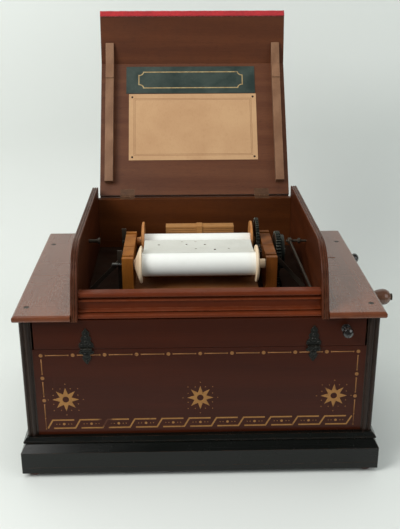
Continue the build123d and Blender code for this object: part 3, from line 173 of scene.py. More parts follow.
class ORGAN_PG_straps(bpy.types.PropertyGroup):
    """Sizes of the cast bosses on the strap hinges."""

    place: length("Strap Place", "Middle of the panel to a strap hinge", 133.0)
    seam: length("Seam Height", "Height of the seam under the flap", 158.0)
    rise: length("Boss Rise", "How far the bosses stand out of the panel", 2.1)
    large: length("Large Boss", "Radius of the boss at the waist of the lower leaf", 4.0)
    small: length("Small Boss", "Radius of the small bosses", 1.5)


class ORGAN_PG_bellows(bpy.types.PropertyGroup):
    """Sizes of the pleated cloths of the feeders and the reservoir."""

    wall: length("Cloth Thickness", "Thickness of the cloth", 0.6)
    fold: length("Fold Depth", "How far the folds go in at the tall end", 7.0)
    folds: how_many("Folds", "Folds between the boards", 4)
    feeder_near: length("Feeder Near", "Middle of the case to the near side of a feeder", 12.0)
    feeder_far: length("Feeder Far", "Middle of the case to the far side of a feeder", 168.0)
    feeder_front: length("Feeder Front", "Front end of the feeders", -105.4)
    feeder_hinge: length("Feeder Hinge", "Back end of the feeders, at their hinges", 91.5)
    feeder_floor: length("Feeder Floor", "Height of the base board's top", 8.0)
    feeder_low: length("Feeder Low", "Height of a feeder board's underside at its hinge", 20.0)
    feeder_high: length("Feeder High", "Height of a feeder board's underside at its front", 54.7)
    bend: length("Bend Depth", "How far below a feeder board its cloth follows it", 30.0)
    reservoir_left: length("Reservoir Left", "Left side of the reservoir", -72.0)
    reservoir_right: length("Reservoir Right", "Right side of the reservoir", 74.0)
    reservoir_front: length("Reservoir Front", "Front end of the reservoir", 17.2)
    reservoir_hinge: length("Reservoir Hinge", "Back end of the reservoir, at its hinge", 92.5)
    reservoir_top: length("Reservoir Top", "Height of the wind chest's floor", 140.0)
    reservoir_low: length("Reservoir Low", "Height of the open reservoir board at its front", 117.8)
    reservoir_high: length("Reservoir High", "Height of the reservoir board at its hinge", 138.0)


class ORGAN_PG_paper(bpy.types.PropertyGroup):
    """Sizes of the punched paper."""

    left: length("Paper Left", "Left edge of the paper", -69.0)
    right: length("Paper Right", "Right edge of the paper", 71.0)
    thickness: length("Thickness", "Thickness of the paper", 0.25)
    lift: length("Lift", "Distance of the paper's middle from the bar and the rolls", 0.3)
    notes: how_many("Notes", "Rows of holes across the paper", 20)
    pitch: length("Note Pitch", "Distance between two rows of holes", 6.0)
    hole: length("Hole Width", "Width of a hole", 2.6)


class ORGAN_PG_colours(bpy.types.PropertyGroup):
    """Colours of the finishes."""

    mahogany_light: colour("Mahogany Light", "Light streaks of the polished mahogany", 68, 26, 9)
    mahogany_dark: colour("Mahogany Dark", "Dark streaks of the polished mahogany", 48, 16, 5)
    gilt: colour("Gilt", "Gilding of the stars and the running band", 168, 120, 62)
    dull_gilt: colour("Dull Gilt", "Rubbed gilding of the beads and bars", 142, 96, 54)
    ebony: colour("Ebonised", "Black polish of the plinth", 13, 16, 13)
    paper: colour("Paper", "Music paper on its rolls", 232, 234, 230)
    # Painted shade: the paper between the rolls is a darker copy of the paper on them.
    used_paper: colour("Shaded Web Paper", "Music paper between the rolls", 208, 209, 202)
    card: colour("Card", "Card inside the lid", 188, 151, 113)
    plate: colour("Plate", "Plate inside the lid", 30, 46, 43)
    plate_border: colour("Plate Border", "Border line of the plate", 206, 190, 140)
    felt: colour("Felt", "Felt on the lid's edge", 178, 36, 42)
    brass: colour("Brass", "Hinges, reeds and bushes", 176, 138, 74)
    steel: colour("Steel", "Axles, pins and rods", 150, 150, 146)
    iron: colour("Iron", "Cast wheels and arms", 40, 46, 42)


class ORGAN_PG_stage(bpy.types.PropertyGroup):
    """Floor, backdrop and lamps."""

    floor: colour("Floor", "Floor and backdrop", 226, 230, 227)
    front: length("Floor Front", "How far the floor comes forward", 2400.0)
    wall: length("Backdrop Place", "Distance from the middle to the backdrop", 620.0)
    sweep: length("Sweep Radius", "Radius of the bend between floor and backdrop", 260.0)
    height: length("Backdrop Height", "Height of the backdrop", 1900.0)
    half_width: length("Half Width", "Half the width of floor and backdrop", 2600.0)
    key: watts("Key Lamp", "Power of the lamp at the upper left", 27.0)
    top: watts("Top Lamp", "Power of the lamp overhead", 8.5)
    window: watts("Window Lamp", "Power of the lamp that the open lid mirrors", 3.0)
    fill: watts("Fill Lamp", "Power of the lamp at the right", 8.0)
    mirrored: FloatProperty(
        name="Mirrored Share", description="How much of the sky and the far floor the varnish mirrors",
        default=0.15, min=0, max=1, subtype="FACTOR")
    near: length("Near Floor", "Distance from the middle to where the floor stops being mirrored", 320.0)
    sky: FloatProperty(name="Sky", description="Strength of the light from all round", default=0.4, min=0)


SETTINGS = {
    "organ_gilding": ORGAN_PG_gilding,
    "organ_lid_fittings": ORGAN_PG_lid_fittings,
    "organ_straps": ORGAN_PG_straps,
    "organ_bellows": ORGAN_PG_bellows,
    "organ_paper": ORGAN_PG_paper,
    "organ_colours": ORGAN_PG_colours,
    "organ_stage": ORGAN_PG_stage,
}


# ---- surfaces -------------------------------------------------------------------
def skin(points, close_u=False, close_v=False):
    """Vertices and quads of sheets of points shaped (sheets, rows, columns, 3).

    Each quad joins point (i, j) to (i+1, j), (i+1, j+1) and (i, j+1). A closed direction joins its last to
    its first.
    """
    sheets, rows, columns = points.shape[:3]
    index = np.arange(sheets * rows * columns).reshape(sheets, rows, columns)
    i = np.arange(rows if close_u else rows - 1)
    j = np.arange(columns if close_v else columns - 1)
    a = index[:, i][:, :, j]
    b = index[:, (i + 1) % rows][:, :, j]
    c = index[:, (i + 1) % rows][:, :, (j + 1) % columns]
    d = index[:, i][:, :, (j + 1) % columns]
    return points.reshape(-1, 3), np.stack([a, b, c, d], -1).reshape(-1, 4)


def closed(rings):
    """Rings shaped (pieces, rings, points, 3) as closed bodies: each end ring is gathered into its middle."""
    first = np.repeat(rings[:, :1].mean(2, keepdims=True), rings.shape[2], 2)
    last = np.repeat(rings[:, -1:].mean(2, keepdims=True), rings.shape[2], 2)
    return skin(np.concatenate([first, rings, last], 1), close_v=True)


def joined(*shapes):
    """Several (vertices, quads) as one."""
    offsets = np.cumsum([0] + [len(v) for v, _ in shapes[:-1]])
    points = np.concatenate([v for v, _ in shapes])
    return points, np.concatenate([q + o for (_, q), o in zip(shapes, offsets)])


def laid(shape, origin, across, up, out):
    """A shape drawn flat, as (across, up, out), laid on the plane through origin with those directions."""
    points, quads = shape
    return np.array(origin) + points @ np.array([across, up, out], float), quads


def piece(name, shape, material, body, smooth=True, replaced=()):
    """A mesh of that shape, its poles merged and its faces outward, riding on the body if one is named."""
    points, quads = shape
    mesh = bpy.data.meshes.new(name)
    mesh.from_pydata(points, [], quads)
    work = bmesh.new()
    work.from_mesh(mesh)
    bmesh.ops.remove_doubles(work, verts=work.verts, dist=TOUCHING)
    bmesh.ops.recalc_face_normals(work, faces=work.faces)
    work.to_mesh(mesh)
    work.free()
    mesh.polygons.foreach_set("use_smooth", np.full(len(mesh.polygons), smooth))
    mesh.materials.append(material)
    made = bpy.data.objects.new(name, mesh)
    bpy.context.scene.collection.objects.link(made)
    if body:
        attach(made, body)
    if replaced:
        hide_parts(*replaced)
    return made


def circle(count, turn=0.0):
    """Cosines and sines of count equal steps round a circle."""
    t = np.linspace(0, 2 * math.pi, count, endpoint=False) + turn
    return np.stack([np.cos(t), np.sin(t)], -1)


def domes(centres, radii, height, count=20):
    """Low domes: a point lies at centre + radius * r(k) * (cos t, sin t), height * h(k) out of the face."""
    r = np.array([1.0, 1.0, 0.86, 0.5])
    h = np.array([-0.5, 0.35, 0.8, 1.0])
    centres = np.array(centres, float).reshape(-1, 1, 1, 2)
    radii = np.broadcast_to(np.array(radii, float).reshape(-1, 1, 1, 1), (len(centres), 1, 1, 1))
    flat = centres + radii * r.reshape(1, -1, 1, 1) * circle(count).reshape(1, 1, -1, 2)
    out = np.broadcast_to((h * height).reshape(1, -1, 1, 1), flat.shape[:3] + (1,))
    return closed(np.concatenate([flat, out], -1))


def strokes(paths, width, height, ring=False):
    """Raised lines: a flat arched section carried along each path, mitred at its corners.

    At a corner the section lies along the half-way direction, and is wider by one over the cosine of half
    the turn.
    """
    paths = np.array(paths, float)
    ahead = np.roll(paths, -1, 1) - paths
    back = paths - np.roll(paths, 1, 1)
    if not ring:
        ahead[:, -1] = back[:, -1]
        back[:, 0] = ahead[:, 0]
    ahead /= np.linalg.norm(ahead, axis=-1, keepdims=True)
    back /= np.linalg.norm(back, axis=-1, keepdims=True)
    along = ahead + back
    along /= np.linalg.norm(along, axis=-1, keepdims=True)
    spread = 1 / (along * ahead).sum(-1)[..., None, None]
    side = np.stack([-along[..., 1], along[..., 0]], -1)[:, :, None]
    w = np.array([-0.5, -0.5, -0.3, 0.3, 0.5, 0.5]).reshape(1, 1, -1, 1)
    h = np.array([-0.5, 0.5, 1.0, 1.0, 0.5, -0.5]).reshape(1, 1, -1, 1)
    flat = paths[:, :, None] + side * w * width * spread
    out = np.broadcast_to(h * height, flat.shape[:3] + (1,))
    rings = np.concatenate([flat, out], -1)
    return skin(rings, close_u=True, close_v=True) if ring else closed(rings)


def stars(centres, reach, valley, eye, height, points):
    """Stars with an open eye: the edge runs straight from each point to the valley beside it.

    A point lies at centre + direction(t) * (eye + (edge(t) - eye) * r(k)), out by height * h(k), where the
    section k is a loop.
    """
    steps = 6
    corners = circle(2 * points, math.pi / 2) * np.tile([reach, valley], points)[:, None]
    s = np.linspace(0, 1, steps, endpoint=False).reshape(1, -1, 1)
    edge = (corners[:, None] * (1 - s) + np.roll(corners, -1, 0)[:, None] * s).reshape(1, -1, 1, 2)
    inner = edge / np.linalg.norm(edge, axis=-1, keepdims=True) * eye
    r = np.array([0.0, 0.0, 0.12, 0.9, 1.0, 1.0]).reshape(1, 1, -1, 1)
    h = np.array([-0.5, 0.4, 1.0, 1.0, 0.4, -0.5]).reshape(1, 1, -1, 1)
    flat = np.array(centres, float).reshape(-1, 1, 1, 2) + inner + (edge - inner) * r
    out = np.broadcast_to(h * height, flat.shape[:3] + (1,))
    return skin(np.concatenate([flat, out], -1), close_u=True, close_v=True)


# ---- shader nodes ---------------------------------------------------------------
def node(tree, kind, settings=None, **sockets):
    """A shader node with its settings; each socket is given a value, or another node's output to link."""
    made = tree.nodes.new("ShaderNode" + kind)
    for name, value in (settings or {}).items():
        setattr(made, name, value)
    for name, value in sockets.items():
        plug(tree, made.inputs[name.replace("_", " ")], value)
    return made


def plug(tree, socket, value):
    """Links an output to the socket, or sets the socket's own value."""
    if isinstance(value, bpy.types.NodeSocket):
        tree.links.new(value, socket)
    elif socket.type == "RGBA" and len(value) == 3:
        socket.default_value = (*value, 1)
    else:
        socket.default_value = value


def maths(tree, operation, a, b=0.0, clamp=False):
    """One operation on two values."""
    made = node(tree, "Math", {"operation": operation, "use_clamp": clamp})
    plug(tree, made.inputs[0], a)
    plug(tree, made.inputs[1], b)
    return made.outputs[0]


def mixed(tree, amount, a, b):
    """Colour a turned towards colour b by the amount."""
    made = node(tree, "Mix", {"data_type": "RGBA", "blend_type": "MIX", "clamp_factor": True})
    plug(tree, made.inputs[0], amount)
    plug(tree, made.inputs[6], a)
    plug(tree, made.inputs[7], b)
    return made.outputs[2]


def ramped(tree, value, low, high, to_low=0.0, to_high=1.0):
    """The value carried from the range low..high to the range to_low..to_high, and held there."""
    return node(
        tree, "MapRange", {"clamp": True}, Value=value, From_Min=low, From_Max=high,
        To_Min=to_low, To_Max=to_high,
    ).outputs[0]


def stretched(tree, vector, scale, rotation=(0, 0, 0)):
    """Coordinates scaled and turned for a pattern."""
    return node(tree, "Mapping", Vector=vector, Scale=scale, Rotation=rotation).outputs[0]


def cloud(tree, vector, scale, detail=3.0, roughness=0.55, distortion=0.0):
    """Soft noise from 0 to 1."""
    return node(
        tree, "TexNoise", Vector=vector, Scale=scale, Detail=detail, Roughness=roughness,
        Distortion=distortion,
    ).outputs[0]


def group(name, takes, gives, fill):
    """The node group of that name, made once: takes and gives list its sockets, and fill wires it."""
    tree = bpy.data.node_groups.get(name)
    if tree:
        return tree
    tree = bpy.data.node_groups.new(name, "ShaderNodeTree")
    for label, kind, default in takes:
        socket = tree.interface.new_socket(label, in_out="INPUT", socket_type="NodeSocket" + kind)
        if default is not None:
            socket.default_value = default
    for label, kind in gives:
        tree.interface.new_socket(label, in_out="OUTPUT", socket_type="NodeSocket" + kind)
    entry = tree.nodes.new("NodeGroupInput").outputs
    end = tree.nodes.new("NodeGroupOutput").inputs
    for label, value in fill(tree, entry).items():
        tree.links.new(value, end[label])
    return tree


def use(tree, group_tree, **sockets):
    """Places a node group in a material with its values."""
    made = tree.nodes.new("ShaderNodeGroup")
    made.node_tree = group_tree
    for name, value in sockets.items():
        plug(tree, made.inputs[name.replace("_", " ")], value)
    return made.outputs


def timber_grain():
    """Wood: broad streaks, growth lines, fine fibre and short dark pores, all drawn out along X."""
    def fill(tree, entry):
        place = entry["Vector"]
        streak = cloud(tree, stretched(tree, place, (2.2, 26, 26)), 1.0, 5.0, 0.62, 0.7)
        lines = node(
            tree, "TexWave", {"wave_type": "BANDS", "bands_direction": "DIAGONAL"},
            Vector=stretched(tree, place, (0.35, 6.5, 6.5)), Scale=2.4, Distortion=7.0, Detail=3.0,
            Detail_Scale=1.4, Detail_Roughness=0.6,
        ).outputs["Fac"]
        fibre = cloud(tree, stretched(tree, place, (24, 620, 620)), 1.0, 2.0, 0.6)
        pores = ramped(tree, cloud(tree, stretched(tree, place, (150, 2600, 2600)), 1.0, 1.0, 0.5), 0.6, 0.72)
        broad = maths(tree, "MULTIPLY", streak, 0.65)
        figure = maths(tree, "ADD", broad, maths(tree, "MULTIPLY", lines, 0.35))
        centred = maths(tree, "SUBTRACT", figure, 0.5)
        figure = maths(tree, "ADD", maths(tree, "MULTIPLY", centred, entry["Figure"]), 0.5, True)
        fine = maths(tree, "MULTIPLY", maths(tree, "SUBTRACT", fibre, 0.5), 0.5)
        figure = maths(tree, "ADD", figure, fine, True)
        tone = mixed(tree, figure, entry["Dark"], entry["Light"])
        pitted = maths(tree, "MULTIPLY", pores, entry["Pores"])
        tone = mixed(tree, maths(tree, "MULTIPLY", pitted, 0.55), tone, entry["Pore Color"])
        height = maths(tree, "SUBTRACT", maths(tree, "MULTIPLY", fibre, 0.35), pitted)
        return {"Color": tone, "Height": height}

    return group(
        "Timber Grain",
        [("Vector", "Vector", None), ("Light", "Color", (0.5, 0.3, 0.15, 1)),
         ("Dark", "Color", (0.2, 0.1, 0.05, 1)), ("Pore Color", "Color", (0.02, 0.01, 0.005, 1)),
         ("Figure", "Float", 1.6), ("Pores", "Float", 0.6)],
        [("Color", "Color"), ("Height", "Float")], fill)


def aged_patches():
    """Age: wide soft patches and small spots, as a mask, and the colour shaded by them."""
    def fill(tree, entry):
        wide = ramped(tree, cloud(tree, entry["Vector"], entry["Scale"], 4.0, 0.6, 0.4), 0.36, 0.68)
        fine = maths(tree, "MULTIPLY", entry["Scale"], 11.0)
        small = ramped(tree, cloud(tree, entry["Vector"], fine, 3.0), 0.56, 0.7)
        patches = maths(tree, "MULTIPLY", wide, 0.75)
        mask = maths(tree, "ADD", patches, maths(tree, "MULTIPLY", small, 0.25), True)
        shade = mixed(tree, maths(tree, "MULTIPLY", mask, entry["Amount"]), entry["Color"], entry["Shade"])
        return {"Color": shade, "Mask": mask}

    return group(
        "Aged Patches",
        [("Vector", "Vector", None), ("Color", "Color", (0.5, 0.5, 0.5, 1)),
         ("Shade", "Color", (0.3, 0.3, 0.3, 1)), ("Scale", "Float", 9.0), ("Amount", "Float", 0.5)],
        [("Color", "Color"), ("Mask", "Float")], fill)


def edge_lean_mask():
    """Mask along edges for rubbed wear, and for the painted highlight on the cast iron: how far the rounded
    normal leans from the face's own, broken up by noise.
    """
    def fill(tree, entry):
        soft = node(tree, "Bevel", {"samples": 4}, Radius=entry["Radius"]).outputs[0]
        hard = node(tree, "NewGeometry").outputs["Normal"]
        facing = node(tree, "VectorMath", {"operation": "DOT_PRODUCT"})
        tree.links.new(soft, facing.inputs[0])
        tree.links.new(hard, facing.inputs[1])
        lean = ramped(tree, facing.outputs["Value"], 0.985, 0.86)
        breaks = ramped(tree, cloud(tree, entry["Vector"], 130.0, 4.0, 0.65), 0.38, 0.58)
        mask = maths(tree, "MULTIPLY", maths(tree, "MULTIPLY", lean, breaks), entry["Amount"])
        return {"Mask": mask, "Normal": soft}

    return group(
        "Rubbed Edges",
        [("Vector", "Vector", None), ("Radius", "Float", 0.0008), ("Amount", "Float", 0.6)],
        [("Mask", "Float"), ("Normal", "Vector")], fill)


def settled_dust():
    """Dust: a mask that is strongest where the surface faces up, broken up by noise."""
    def fill(tree, entry):
        up = node(tree, "SeparateXYZ", Vector=node(tree, "NewGeometry").outputs["Normal"]).outputs["Z"]
        specks = ramped(tree, cloud(tree, entry["Vector"], 60.0, 5.0, 0.7), 0.3, 0.75)
        mask = maths(tree, "MULTIPLY", ramped(tree, up, 0.3, 0.95), specks)
        return {"Mask": maths(tree, "MULTIPLY", mask, entry["Amount"])}

    return group(
        "Settled Dust", [("Vector", "Vector", None), ("Amount", "Float", 0.3)], [("Mask", "Float")], fill)


def hair_scratches():
    """Fine scratches: two fields of noise drawn out in crossing directions, cut to thin lines."""
    def fill(tree, entry):
        one = cloud(tree, stretched(tree, entry["Vector"], (8, 420, 420), (0.3, 0.2, 0.5)), 1.0, 1.0)
        two = cloud(tree, stretched(tree, entry["Vector"], (380, 9, 380), (0.1, 0.4, -0.35)), 1.0, 1.0)
        lines = maths(tree, "MAXIMUM", ramped(tree, one, 0.66, 0.72), ramped(tree, two, 0.67, 0.73))
        return {"Mask": maths(tree, "MULTIPLY", lines, entry["Amount"])}

    return group(
        "Hair Scratches", [("Vector", "Vector", None), ("Amount", "Float", 0.5)], [("Mask", "Float")], fill)


# ---- finishes -------------------------------------------------------------------
ALONG = {"X": (0, 0, 0), "Y": (0, 0, math.pi / 2), "Z": (0, math.pi / 2, 0)}
DUST_ON_WOOD = (150, 140, 128)
DUST_ON_METAL = (150, 140, 125)
GILDING_SHADE = (138, 94, 46)


def new_finish(name):
    """An empty material with its object coordinates, its Principled shader and its tree."""
    material = bpy.data.materials.new(name)
    material.use_nodes = True
    tree = material.node_tree
    tree.nodes.clear()
    shader = tree.nodes.new("ShaderNodeBsdfPrincipled")
    output = tree.nodes.new("ShaderNodeOutputMaterial")
    tree.links.new(shader.outputs[0], output.inputs["Surface"])
    place = tree.nodes.new("ShaderNodeTexCoord").outputs["Object"]
    return material, tree, shader, place


def bumped(tree, shader, height, strength, depth, normal=None):
    """Puts a relief on the shader's normal."""
    bump = node(tree, "Bump", Height=height, Strength=strength, Distance=depth)
    if normal is not None:
        tree.links.new(normal, bump.inputs["Normal"])
    tree.links.new(bump.outputs[0], shader.inputs["Normal"])


def timber(
    name, light, dark, along="X", figure=1.6, pores=0.6, rough=(0.3, 0.5), specular=0.4, coat=0.3,
    coat_rough=0.15, shade=(30, 12, 6), age=0.35, dust=0.15, edge_tone=(140, 90, 55), worn=0.5,
):
    """Wood with its grain along one axis, varnish worn at the edges, patches of age, dust and scratches."""
    material, tree, shader, place = new_finish(name)
    lengthwise = stretched(tree, place, (1, 1, 1), ALONG[along])
    grain = use(
        tree, timber_grain(), Vector=lengthwise, Light=light, Dark=dark, Pore_Color=linear(shade),
        Figure=figure, Pores=pores)
    aged = use(
        tree, aged_patches(), Vector=place, Color=grain["Color"], Shade=linear(shade), Scale=7.0,
        Amount=age)
    edge = use(tree, edge_lean_mask(), Vector=place, Radius=0.0009, Amount=worn)
    tone = mixed(tree, edge["Mask"], aged["Color"], linear(edge_tone))
    dusty = use(tree, settled_dust(), Vector=place, Amount=dust)
    tone = mixed(tree, dusty["Mask"], tone, linear(DUST_ON_WOOD))
    lines = use(tree, hair_scratches(), Vector=place, Amount=0.5)
    tree.links.new(tone, shader.inputs["Base Color"])
    spread = ramped(tree, aged["Mask"], 0.0, 1.0, rough[0], rough[1])
    spread = maths(tree, "ADD", spread, maths(tree, "MULTIPLY", lines["Mask"], 0.12))
    spread = maths(tree, "ADD", spread, maths(tree, "MULTIPLY", dusty["Mask"], 0.4), True)
    tree.links.new(spread, shader.inputs["Roughness"])
    shader.inputs["Specular IOR Level"].default_value = specular
    shader.inputs["Coat Weight"].default_value = coat
    shader.inputs["Coat Roughness"].default_value = coat_rough
    bumped(tree, shader, grain["Height"], 0.25, 0.0002, edge["Normal"])
    return material


def metal(
    name, base, tarnish, metallic=1.0, rough=(0.3, 0.55), spots=0.5, scale=40.0, pitted=0.15, worn=0.4,
    edge_tone=(190, 185, 175), dust=0.1,
):
    """Metal or painted iron: tarnished in patches, lighter at the edges, with pits and scratches. The lighter
    edges are rubbed wear, and on the cast iron a painted highlight.
    """
    material, tree, shader, place = new_finish(name)
    aged = use(tree, aged_patches(), Vector=place, Color=base, Shade=tarnish, Scale=scale, Amount=spots)
    edge = use(tree, edge_lean_mask(), Vector=place, Radius=0.0005, Amount=worn)
    tone = mixed(tree, edge["Mask"], aged["Color"], linear(edge_tone))
    dusty = use(tree, settled_dust(), Vector=place, Amount=dust)
    tone = mixed(tree, dusty["Mask"], tone, linear(DUST_ON_METAL))
    tree.links.new(tone, shader.inputs["Base Color"])
    lines = use(tree, hair_scratches(), Vector=place, Amount=0.6)
    spread = ramped(tree, aged["Mask"], 0.0, 1.0, rough[0], rough[1])
    spread = maths(tree, "ADD", spread, maths(tree, "MULTIPLY", lines["Mask"], 0.15), True)
    tree.links.new(spread, shader.inputs["Roughness"])
    shader.inputs["Metallic"].default_value = metallic
    pits = cloud(tree, place, 900.0, 3.0, 0.7)
    bumped(tree, shader, pits, pitted, 0.0002, edge["Normal"])
    return material


def paper_stock(name, base, shade, age=0.3, scale=14.0, fleck=0.1, rough=0.85):
    """Paper or card: soft toning, faint fibres and a slightly uneven face."""
    material, tree, shader, place = new_finish(name)
    aged = use(tree, aged_patches(), Vector=place, Color=base, Shade=shade, Scale=scale, Amount=age)
    fibres = ramped(tree, cloud(tree, stretched(tree, place, (700, 260, 260)), 1.0, 3.0, 0.7), 0.5, 0.75)
    tone = mixed(tree, maths(tree, "MULTIPLY", fibres, fleck), aged["Color"], shade)
    tree.links.new(tone, shader.inputs["Base Color"])
    shader.inputs["Roughness"].default_value = rough
    shader.inputs["Specular IOR Level"].default_value = 0.2
    waves = maths(tree, "MULTIPLY", cloud(tree, place, 22.0, 2.0), 2.0)
    uneven = maths(tree, "ADD", waves, cloud(tree, place, 1400.0))
    bumped(tree, shader, uneven, 0.12, 0.0003)
    return material


def woven(name, base, shade, scale=900.0, rough=0.9, sheen=0.3, fuzz=0.5):
    """Cloth or felt: crossing threads or matted fibres, with a soft sheen."""
    material, tree, shader, place = new_finish(name)
    warp = cloud(tree, stretched(tree, place, (1, 0.25, 0.25)), scale, 2.0, 0.6)
    weft = cloud(tree, stretched(tree, place, (0.25, 1, 1)), scale, 2.0, 0.6)
    threads = maths(tree, "MULTIPLY", maths(tree, "ADD", warp, weft), 0.5)
    aged = use(tree, aged_patches(), Vector=place, Color=base, Shade=shade, Scale=30.0, Amount=0.5)
    tone = mixed(tree, ramped(tree, threads, 0.4, 0.65, 0.0, fuzz), aged["Color"], shade)
    tree.links.new(tone, shader.inputs["Base Color"])
    shader.inputs["Roughness"].default_value = rough
    shader.inputs["Specular IOR Level"].default_value = 0.15
    shader.inputs["Sheen Weight"].default_value = sheen
    bumped(tree, shader, threads, 0.6, 0.0006)
    return material


def gilded(name, base, worn, lost=(0, 0, 0), spread=1e-6):
    """Leaf gilding worn through in spots to the varnish, and lost round one place as far as the spread."""
    material, tree, shader, place = new_finish(name)
    away = node(tree, "VectorMath", {"operation": "DISTANCE"})
    tree.links.new(place, away.inputs[0])
    away.inputs[1].default_value = lost
    breaks = maths(tree, "MULTIPLY", cloud(tree, place, 260.0, 4.0), spread)
    ragged = maths(tree, "ADD", away.outputs["Value"], breaks)
    rubbed = ramped(tree, cloud(tree, place, 75.0, 6.0, 0.75), 0.58, 0.66)
    fine = ramped(tree, cloud(tree, place, 600.0, 3.0, 0.7), 0.6, 0.72)
    mask = maths(tree, "MAXIMUM", maths(tree, "MULTIPLY", rubbed, 0.6), maths(tree, "MULTIPLY", fine, 0.5))
    mask = maths(tree, "MAXIMUM", mask, ramped(tree, ragged, spread * 1.2, spread * 1.6, 0.92, 0.0))
    tone = mixed(tree, cloud(tree, place, 210.0, 3.0), base, linear(GILDING_SHADE))
    tree.links.new(mixed(tree, mask, tone, worn), shader.inputs["Base Color"])
    shader.inputs["Metallic"].default_value = 0.25
    tree.links.new(ramped(tree, mask, 0.0, 1.0, 0.42, 0.6), shader.inputs["Roughness"])
    bumped(tree, shader, cloud(tree, place, 1500.0, 2.0), 0.15, 0.0001)
    return material


def dress(material, *nodes):
    """Gives CAD nodes the material, through their objects' own slots."""
    for name in nodes:
        held = frame["nodes"][name]
        if not held.material_slots:
            raise RuntimeError(f"{name} has no material slot")
        for place in held.material_slots:
            place.link = "OBJECT"
            place.material = material


# ---- front ornament -------------------------------------------------------------
DOT_RISE = 1.1  # height of the dots that end a line, as a share of the leaf
TAIL_WIDTH = 0.45  # width of the thin line below the last bar, as a share of a bar's
TAIL_DOT = 0.8  # radius of the dot at its foot, as a share of a bar tip's
SPECK = 0.62  # radius of a speck, as a share of a bar tip's
INNER_SPARKS = 0.76  # radius of the specks between the points of a star, as a share of the outer specks'
BAND_EYE = 0.72  # radius of the dot in each cell of the band, as a share of a bead's
BAND_SPECKS = np.array([(-9, 0), (-5.4, 0), (5.4, 0), (9, 0)]) * MM  # specks at both sides of that dot
STAR_POINTS = 8
DOT_SIDES = 12
SPECK_SIDES = 10
LOST_ACROSS = -114.5 * MM  # middle and reach of the place where the band has lost its gilding
LOST_HEIGHT = 60.5 * MM
LOST_REACH = 9 * MM


def on_front(shape):
    """A flat drawing laid on the face of the front panel."""
    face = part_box("front_panel")[0].y
    return laid(shape, (0, face, 0), (1, 0, 0), (0, 0, 1), (0, -1, 0))


def gilt(name, tone, *lost):
    """Gilding of that tone, worn through to the mahogany."""
    return gilded(name, tuple(tone), tuple(bpy.context.scene.organ_colours.mahogany_light), *lost)


class ORGAN_OT_gilt_border(bpy.types.Operator):
    """Gilt beads and bars along the top and down both sides of the front panel"""

    bl_idname = "organ.gilt_border"
    bl_label = "Gilt Border"

    def execute(self, context):
        size = context.scene.organ_gilding
        x = np.linspace(-size.border_reach, size.border_reach, size.top_steps + 1)
        z = size.border_top - size.side_step * np.arange(size.side_steps + 1)
        top = np.stack([x, np.full_like(x, size.border_top)], -1)
        sides = [np.stack([np.full_like(z, s * size.border_reach), z], -1)[1:-1] for s in (-1, 1)]
        beads = np.concatenate([top, *sides])
        ends = [np.stack([top[:-1] + (size.bar_gap, 0), top[1:] - (size.bar_gap, 0)], 1)]
        for s in (-1, 1):
            line = np.stack([np.full_like(z, s * size.border_reach), z], -1)
            ends.append(np.stack([line[:-1] - (0, size.bar_gap), line[1:] + (0, size.bar_gap)], 1))
        bars = np.concatenate(ends)
        tail = z[-1] + size.bar_gap - size.tip
        tails = np.array([
            [(s * size.border_reach, tail), (s * size.border_reach, size.border_foot)] for s in (-1, 1)])
        dot = size.leaf * DOT_RISE
        shape = joined(
            domes(beads, size.bead, size.leaf), strokes(bars, size.bar_width, size.leaf),
            domes(bars.reshape(-1, 2), size.tip, dot, DOT_SIDES),
            strokes(tails, size.bar_width * TAIL_WIDTH, size.leaf),
            domes(tails[:, 1], size.tip * TAIL_DOT, dot, DOT_SIDES),
        )
        gilding = gilt("dull_gilding", context.scene.organ_colours.dull_gilt)
        piece("gilt_border", on_front(shape), gilding, "case")
        return {"FINISHED"}


class ORGAN_OT_gilt_stars(bpy.types.Operator):
    """Three gilt stars with their eyes and rings of specks"""

    bl_idname = "organ.gilt_stars"
    bl_label = "Gilt Stars"

    def execute(self, context):
        size = context.scene.organ_gilding
        centres = np.array([(s * size.star_place, size.star_height) for s in (-1, 0, 1)])
        radii = np.tile([size.spark_ring, size.spark_ring * INNER_SPARKS], STAR_POINTS)
        ring = circle(2 * STAR_POINTS, math.pi / 2) * radii[:, None]
        specks = (centres[:, None] + ring[None]).reshape(-1, 2)
        shape = joined(
            stars(centres, size.star_reach, size.star_valley, size.star_eye, size.leaf, STAR_POINTS),
            domes(specks, size.tip * SPECK, size.leaf, SPECK_SIDES),
        )
        gilding = gilt("star_gilding", context.scene.organ_colours.gilt)
        piece("gilt_stars", on_front(shape), gilding, "case")
        return {"FINISHED"}


class ORGAN_OT_gilt_band(bpy.types.Operator):
    """Running band of slanting strokes along the foot of the front panel"""

    bl_idname = "organ.gilt_band"
    bl_label = "Gilt Band"

    def execute(self, context):
        size = context.scene.organ_gilding
        period = 2 * size.band_reach / size.band_cells
        foot = -size.band_reach + period * np.arange(size.band_cells + 1)
        low, high = size.band_low, size.band_high
        half_slant = size.band_slant / 2
        bars = [(-size.band_bar - half_slant, low), (-half_slant, low), (half_slant, high),
                (half_slant + size.band_bar, high)]
        inner = np.array(bars)[None] + np.stack([foot[1:-1], np.zeros(len(foot) - 2)], -1)[:, None]
        first = np.array([bars[1:]]) + (foot[0], 0)
        last = np.array([bars[:-1]]) + (foot[-1], 0)
        middle = np.stack([(foot[1:] + foot[:-1]) / 2, np.full(size.band_cells, (low + high) / 2)], -1)
        specks = (middle[:, None] + BAND_SPECKS).reshape(-1, 2)
        shape = joined(
            *(strokes(part, size.band_stroke, size.leaf) for part in (inner, first, last)),
            domes(middle, size.bead * BAND_EYE, size.leaf, DOT_SIDES),
            domes(specks, size.tip * SPECK, size.leaf, SPECK_SIDES),
        )
        lost = (LOST_ACROSS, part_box("front_panel")[0].y, LOST_HEIGHT)
        gilding = gilt("band_gilding", context.scene.organ_colours.gilt, lost, LOST_REACH)
        piece("gilt_band", on_front(shape), gilding, "case", smooth=False)
        return {"FINISHED"}


